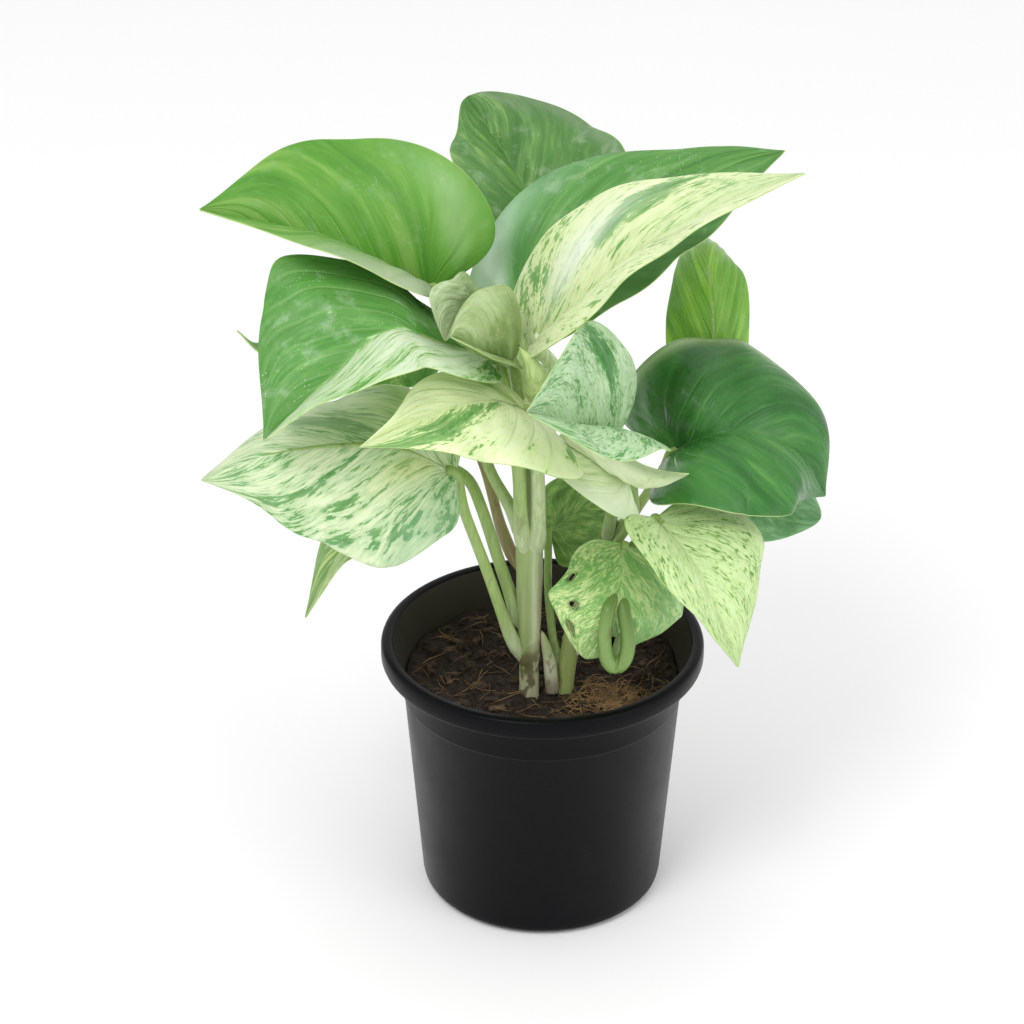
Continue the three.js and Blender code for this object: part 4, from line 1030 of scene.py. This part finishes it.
def new_leaf():
    """The rolled leaf, its edge lapping over itself, and the flat wrapper that stands behind it."""
    bm = bmesh.new()
    lean = SmoothPath([[-5, -16, 207], [-3, -27, 214], [-3, -34, 226], [-9, -38, 242]])

    def place(x, y):
        height = lerp(NEW_LEAF[0][1], NEW_LEAF[-1][1], y)
        centre, turn = lean.at(y), 2 * math.pi * x
        overlap = 1 + 0.16 * x
        radius = profile_at(NEW_LEAF, height) * overlap * MM
        return Vector((centre.x + radius * math.cos(turn), centre.y + radius * math.sin(turn),
                       height * MM))

    sheet(bm, 24, 40, place, wrap=True)
    wrapper = SmoothPath([[-5, -15, 204], [-6, -13, 214], [-7, -11, 226], [-8, -9, 238]])
    tube(bm, wrapper, lambda p, turn: 5.2 * MM * (1 - p ** 3) ** 0.5, 16, 24, flat=0.5)
    skin = stalk_skin("New leaf skin", "#e6f2be", "#dff0b2", "#d6eaa4", 41.0)
    piece("new_leaf_spike_skin", bm, [skin], node="new_leaf_spike")


main_stem()
right_stem()
curled_sheath()
new_leaf()


# ------------------------------------------------------------------ pot

POT_HEIGHT = 104
LIP_BOTTOM = 96
LIP_RADIUS = 60
FOOT_RADIUS = 45.5
BODY_TOP_RADIUS = 53.3
STEP_HEIGHT = 83
STEP_DEPTH = 0.5
POT_WALL = 1.4
BASE_THICKNESS = 2
DRAIN_HOLES = 6
DRAIN_HOLE_RADIUS = 4
DRAIN_HOLE_CIRCLE = 30


def pot_plastic():
    """Dull black plastic, dusty with dried mix on the inner wall above the mix's top."""
    material, t, shader = new_material("Black pot plastic", 0.38, Specular_IOR_Level=0.1)
    place = t.object_place()
    cloud = t.noise(place, 30.0, 4.0, 0.6)
    fine = t.noise(place, 900.0, 3.0, 0.6)
    dust = t.ramp(t.noise(place, 14.0, 5.0, 0.7), 0.55, 0.8, 0.0, 0.12)
    skin = t.mix(cloud, colour("#040407"), colour("#08080b"))
    skin = t.mix(dust, skin, colour("#2b2c2e"))
    x, y, height = t.node("ShaderNodeSeparateXYZ", {"Vector": place}).outputs
    level = t.node("ShaderNodeCombineXYZ", {"X": x, "Y": y})
    from_axis = t.node("ShaderNodeVectorMath", {0: level}, operation="LENGTH").outputs["Value"]
    # The inner wall leans out above 93.5 mm, from 52 mm to 55.6 mm off the axis
    flare = t.math("MAXIMUM", t.math("SUBTRACT", height, 93.5 * MM), 0.0)
    wall = t.math("MINIMUM", t.math("MULTIPLY_ADD", flare, 0.48, 52 * MM), 55.6 * MM)
    above_mix = t.ramp(height, 83 * MM, 86 * MM)
    inside = t.math("MULTIPLY", t.math("LESS_THAN", from_axis, wall), above_mix)
    dried = t.mix(cloud, colour("#35332b"), colour("#4d4a40"))
    skin = t.mix(t.math("MULTIPLY", inside, 0.8), skin, dried)
    t.set(shader.inputs["Base Color"], skin)
    t.set(shader.inputs["Roughness"], t.ramp(cloud, 0.3, 0.7, 0.3, 0.4))
    bumped(t, shader, fine, 0.00006, 0.4)
    return material


def base_with_drain_holes(bm):
    """Closes the spun wall with a flat base, both faces pierced by a ring of drain holes."""
    rims = [[], []]
    for edge in bm.edges:
        if edge.is_boundary:
            rims[edge.verts[0].co.z > MM].append(edge)
    holes = []
    for i in range(DRAIN_HOLES):
        turn = 2 * math.pi * i / DRAIN_HOLES
        x, y = DRAIN_HOLE_CIRCLE * math.cos(turn), DRAIN_HOLE_CIRCLE * math.sin(turn)
        hole = []
        for rim, height in zip(rims, (0, BASE_THICKNESS)):
            made = bmesh.ops.create_circle(
                bm, cap_ends=False, segments=20, radius=DRAIN_HOLE_RADIUS * MM,
                matrix=Matrix.Translation(Vector((x, y, height)) * MM))
            circle = list({e for v in made["verts"] for e in v.link_edges})
            rim += circle
            hole += circle
        holes.append(hole)
    for rim in rims:
        bmesh.ops.triangle_fill(bm, edges=rim, use_beauty=True, use_dissolve=False)
    for hole in holes:
        bmesh.ops.bridge_loops(bm, edges=hole)


def pot():
    step_foot = STEP_HEIGHT - 1
    slope = (BODY_TOP_RADIUS - FOOT_RADIUS) / LIP_BOTTOM
    lower_top = FOOT_RADIUS + slope * step_foot - STEP_DEPTH
    foot = [(40.5, 0), (43.2, 0.7), (45.0, 2.6), (FOOT_RADIUS, 5)]
    step = [(lower_top, step_foot), (lower_top + 0.35, step_foot + 0.7), (52.25, STEP_HEIGHT)]
    lip = [(BODY_TOP_RADIUS, LIP_BOTTOM), (58.2, LIP_BOTTOM), (59.5, 96.5), (LIP_RADIUS, 97.8),
           (LIP_RADIUS, 102), (59.6, 103.3), (58.4, POT_HEIGHT), (56.6, POT_HEIGHT),
           (55.8, 103.6), (55.4, 102.6)]
    inside = [(51.75, 94), (lower_top - POT_WALL, step_foot), (44.1, 7), (43.6, 4.8), (41.8, 2.7),
              (39.1, BASE_THICKNESS)]
    bm = bmesh.new()
    spots = [bm.verts.new((r * MM, 0, z * MM)) for r, z in foot + step + lip + inside]
    edges = [bm.edges.new(pair) for pair in zip(spots, spots[1:])]
    bmesh.ops.spin(bm, geom=spots + edges, cent=(0, 0, 0), axis=(0, 0, 1), angle=2 * math.pi,
                   steps=96, use_merge=True)
    bmesh.ops.remove_doubles(bm, verts=bm.verts[:], dist=1e-6)
    base_with_drain_holes(bm)
    bmesh.ops.recalc_face_normals(bm, faces=bm.faces[:])
    for face in bm.faces:
        face.smooth = True
    obj = piece("pot_shell", bm, [pot_plastic()], node="pot")
    rounded = obj.modifiers.new("Rounded edges", "BEVEL")
    rounded.width = 0.3 * MM
    rounded.segments = 2
    rounded.angle_limit = math.radians(30)


pot()


# ------------------------------------------------------------------ potting mix

MIX_BOTTOM = 2.4
MIX_TOP = 89
MIX_FOOT_RADIUS = 42
MIX_RADIUS = 50.4
# Loose pieces stay within this distance of the pot's axis
LITTER_RADIUS = 48.5


def mound_at(x, y):
    """Height of the mix in millimetres over its level top."""
    waves = (math.sin(x * 0.21 + 0.7) * math.cos(y * 0.17) + 0.6 * math.sin(x * 0.43 + y * 0.38)
             + 0.4 * math.cos(x * 0.61 - y * 0.52 + 1.3)) * 0.8
    rough = noise.fractal(Vector((x / 6, y / 6, 3.0)), 1.0, 2.0, 4) * 0.9
    return waves + rough


def mix_surface():
    """The block of mix as one sheet: out over its base, up its side and in over its top."""
    bm = bmesh.new()
    base_end, side_end = 0.2, 0.4

    def place(x, y):
        turn = 2 * math.pi * x
        if y < base_end:
            radius, height = lerp(0, MIX_FOOT_RADIUS, y / base_end), MIX_BOTTOM
        elif y < side_end:
            t = (y - base_end) / (side_end - base_end)
            radius, height = lerp(MIX_FOOT_RADIUS, MIX_RADIUS, t), lerp(MIX_BOTTOM, MIX_TOP - 1, t)
        else:
            inwards = ((y - side_end) / (1 - side_end)) ** 0.8
            radius, height = lerp(MIX_RADIUS, 0, inwards), MIX_TOP
        at = Vector((radius * math.cos(turn), radius * math.sin(turn), height))
        if y >= side_end:
            at.z += mound_at(at.x, at.y)
        return at * MM

    sheet(bm, 150, 130, place, wrap=True)
    return bm


def scatter(rng, inner, outer):
    """A place drawn evenly from a ring round the pot's axis."""
    turn, radius = rng.uniform(0, 2 * math.pi), lerp(inner, outer, math.sqrt(rng.random()))
    return radius * math.cos(turn), radius * math.sin(turn)


def crumbs(rng):
    bm = bmesh.new()
    for _ in range(900):
        x, y = scatter(rng, 0, LITTER_RADIUS)
        size = rng.uniform(0.5, 1.0) * (2.2 if rng.random() < 0.12 else 1)
        made = bmesh.ops.create_icosphere(bm, subdivisions=1, radius=size * MM)["verts"]
        lift = MIX_TOP + mound_at(x, y) + size * 0.2
        tilt = rng.uniform(0, 6.3)
        for v in made:
            v.co *= rng.uniform(0.7, 1.25)
            v.co.x, v.co.y = (v.co.x * math.cos(tilt) * 1.4 - v.co.y * math.sin(tilt),
                              v.co.x * math.sin(tilt) * 1.4 + v.co.y * math.cos(tilt))
            v.co += Vector((x, y, lift)) * MM
    return bm


def fibres(rng, count, thin, thick, where=None):
    """Bent coir fibres lying on the mix, spread over it or where a function draws their places."""
    bm = bmesh.new()
    for _ in range(count):
        x, y = where(rng) if where else scatter(rng, 6, 46)
        length, heading = rng.uniform(5, 16), rng.uniform(0, 6.3)
        bend = rng.uniform(-8, 8)
        spots = []
        for step in (-0.5, -0.2, 0.15, 0.5):
            off = bend * (0.25 - step * step)
            at_x = x + length * step * math.cos(heading) - off * math.sin(heading)
            at_y = y + length * step * math.sin(heading) + off * math.cos(heading)
            far = math.hypot(at_x, at_y)
            if far > LITTER_RADIUS:
                at_x, at_y = at_x * LITTER_RADIUS / far, at_y * LITTER_RADIUS / far
            rise = rng.uniform(0.0, 1.6) if abs(step) < 0.4 else rng.uniform(-0.5, 1.2)
            spots.append([at_x, at_y, MIX_TOP + 0.4 + mound_at(at_x, at_y) + rise])
        radius = rng.uniform(thin, thick)
        tube(bm, SmoothPath(spots), lambda p, turn: radius * MM * (1 - 0.5 * abs(2 * p - 1)), 5, 7)
    return bm


def chips(rng):
    bm = bmesh.new()
    for _ in range(18):
        x, y = scatter(rng, 6, 44)
        length, width = rng.uniform(3, 7), rng.uniform(1.8, 3.4)
        made = bmesh.ops.create_cube(bm, size=1.0)["verts"]
        tilt = rng.uniform(-0.3, 0.3)
        turn = rng.uniform(0, 6.3)
        for v in made:
            v.co.x *= length * rng.uniform(0.8, 1.15)
            v.co.y *= width * rng.uniform(0.7, 1.2)
            v.co.z = v.co.z * 1.2 + v.co.x * math.sin(tilt)
            v.co.x, v.co.y = (v.co.x * math.cos(turn) - v.co.y * math.sin(turn),
                              v.co.x * math.sin(turn) + v.co.y * math.cos(turn))
            v.co = (v.co + Vector((x, y, MIX_TOP + 0.6 + mound_at(x, y)))) * MM
    bmesh.ops.bevel(bm, geom=bm.edges[:], affect="EDGES", offset=0.25 * MM, segments=1,
                    profile=0.5, material=-1)
    return bm


def earth_material(name, dark, light, scale, roughness):
    material, t, shader = new_material(name, roughness)
    place = t.object_place()
    grain = t.noise(place, scale, 5.0, 0.7)
    fine = t.noise(place, scale * 4, 3.0, 0.6)
    skin = t.mix(t.ramp(grain, 0.35, 0.7), colour(dark), colour(light))
    t.set(shader.inputs["Base Color"], skin)
    bumped(t, shader, t.math("ADD", grain, fine), 0.0008, 0.9)
    return material


def right_front(rng):
    """A place in the tuft of fibres at the right front of the mix."""
    return rng.gauss(27, 8), rng.gauss(-21, 5.5)


def mix():
    rng = random.Random(7)
    peat = earth_material("Peat", "#150e0a", "#3a281b", 350.0, 0.95)
    crumb = earth_material("Peat crumbs", "#201711", "#503d2c", 260.0, 0.95)
    coir = earth_material("Coir fibre", "#6e5638", "#ab875a", 120.0, 0.8)
    bark = earth_material("Bark chips", "#2a1e15", "#5f4a35", 150.0, 0.85)
    for name, bm, material in (
            ("potting_mix_body", mix_surface(), peat),
            ("potting_mix_crumbs", crumbs(rng), crumb),
            ("potting_mix_fibres", fibres(rng, 110, 0.08, 0.18), coir),
            ("potting_mix_fibre_tuft", fibres(rng, 330, 0.1, 0.22, right_front), coir),
            ("potting_mix_bark", chips(rng), bark)):
        piece(name, bm, [material], node="potting_mix")


mix()


# ------------------------------------------------------------------ floor, light and camera

FLOOR_HALF_WIDTH = 6.0
CAMERA_PLACE = (-0.0113, -1.0286, 0.722)
CAMERA_LENS = 113.55
LOOKS_DOWN = 28.8


def floor():
    bm = bmesh.new()
    bmesh.ops.create_grid(bm, x_segments=1, y_segments=1, size=FLOOR_HALF_WIDTH)
    mesh = bpy.data.meshes.new("floor")
    bm.to_mesh(mesh)
    bm.free()
    obj = bpy.data.objects.new("floor", mesh)
    bpy.context.scene.collection.objects.link(obj)
    material, t, shader = new_material("White floor", 0.9)
    shade = t.noise(t.object_place(), 3.0, 2.0)
    t.set(shader.inputs["Base Color"],
          t.mix(shade, (0.93, 0.93, 0.93, 1), (0.95, 0.95, 0.95, 1)))
    mesh.materials.append(material)


def area_light(name, place, target, size, power):
    light = bpy.data.lights.new(name, "AREA")
    light.shape = "DISK"
    light.size = size
    light.energy = power
    obj = bpy.data.objects.new(name, light)
    obj.location = place
    obj.rotation_euler = (Vector(target) - Vector(place)).to_track_quat("-Z", "Y").to_euler()
    bpy.context.scene.collection.objects.link(obj)


def world():
    made = bpy.data.worlds.new("Soft studio")
    made.use_nodes = True
    made.node_tree.nodes["Background"].inputs["Color"].default_value = (1, 1, 1, 1)
    made.node_tree.nodes["Background"].inputs["Strength"].default_value = 0.9
    bpy.context.scene.world = made


def camera():
    data = bpy.data.cameras.new("camera")
    data.lens = CAMERA_LENS
    data.sensor_width = 36
    data.sensor_fit = "HORIZONTAL"
    data.clip_end = 30
    obj = bpy.data.objects.new("camera", data)
    obj.location = CAMERA_PLACE
    obj.rotation_euler = (math.radians(90 - LOOKS_DOWN), 0, 0)
    bpy.context.scene.collection.objects.link(obj)
    bpy.context.scene.camera = obj


floor()
area_light("key", (-0.5, -0.9, 1.5), (0, 0, 0.18), 0.7, 10)
area_light("fill", (1.0, -0.8, 0.8), (0, 0, 0.15), 1.0, 4)
world()
camera()
bpy.context.scene.view_settings.view_transform = "Standard"
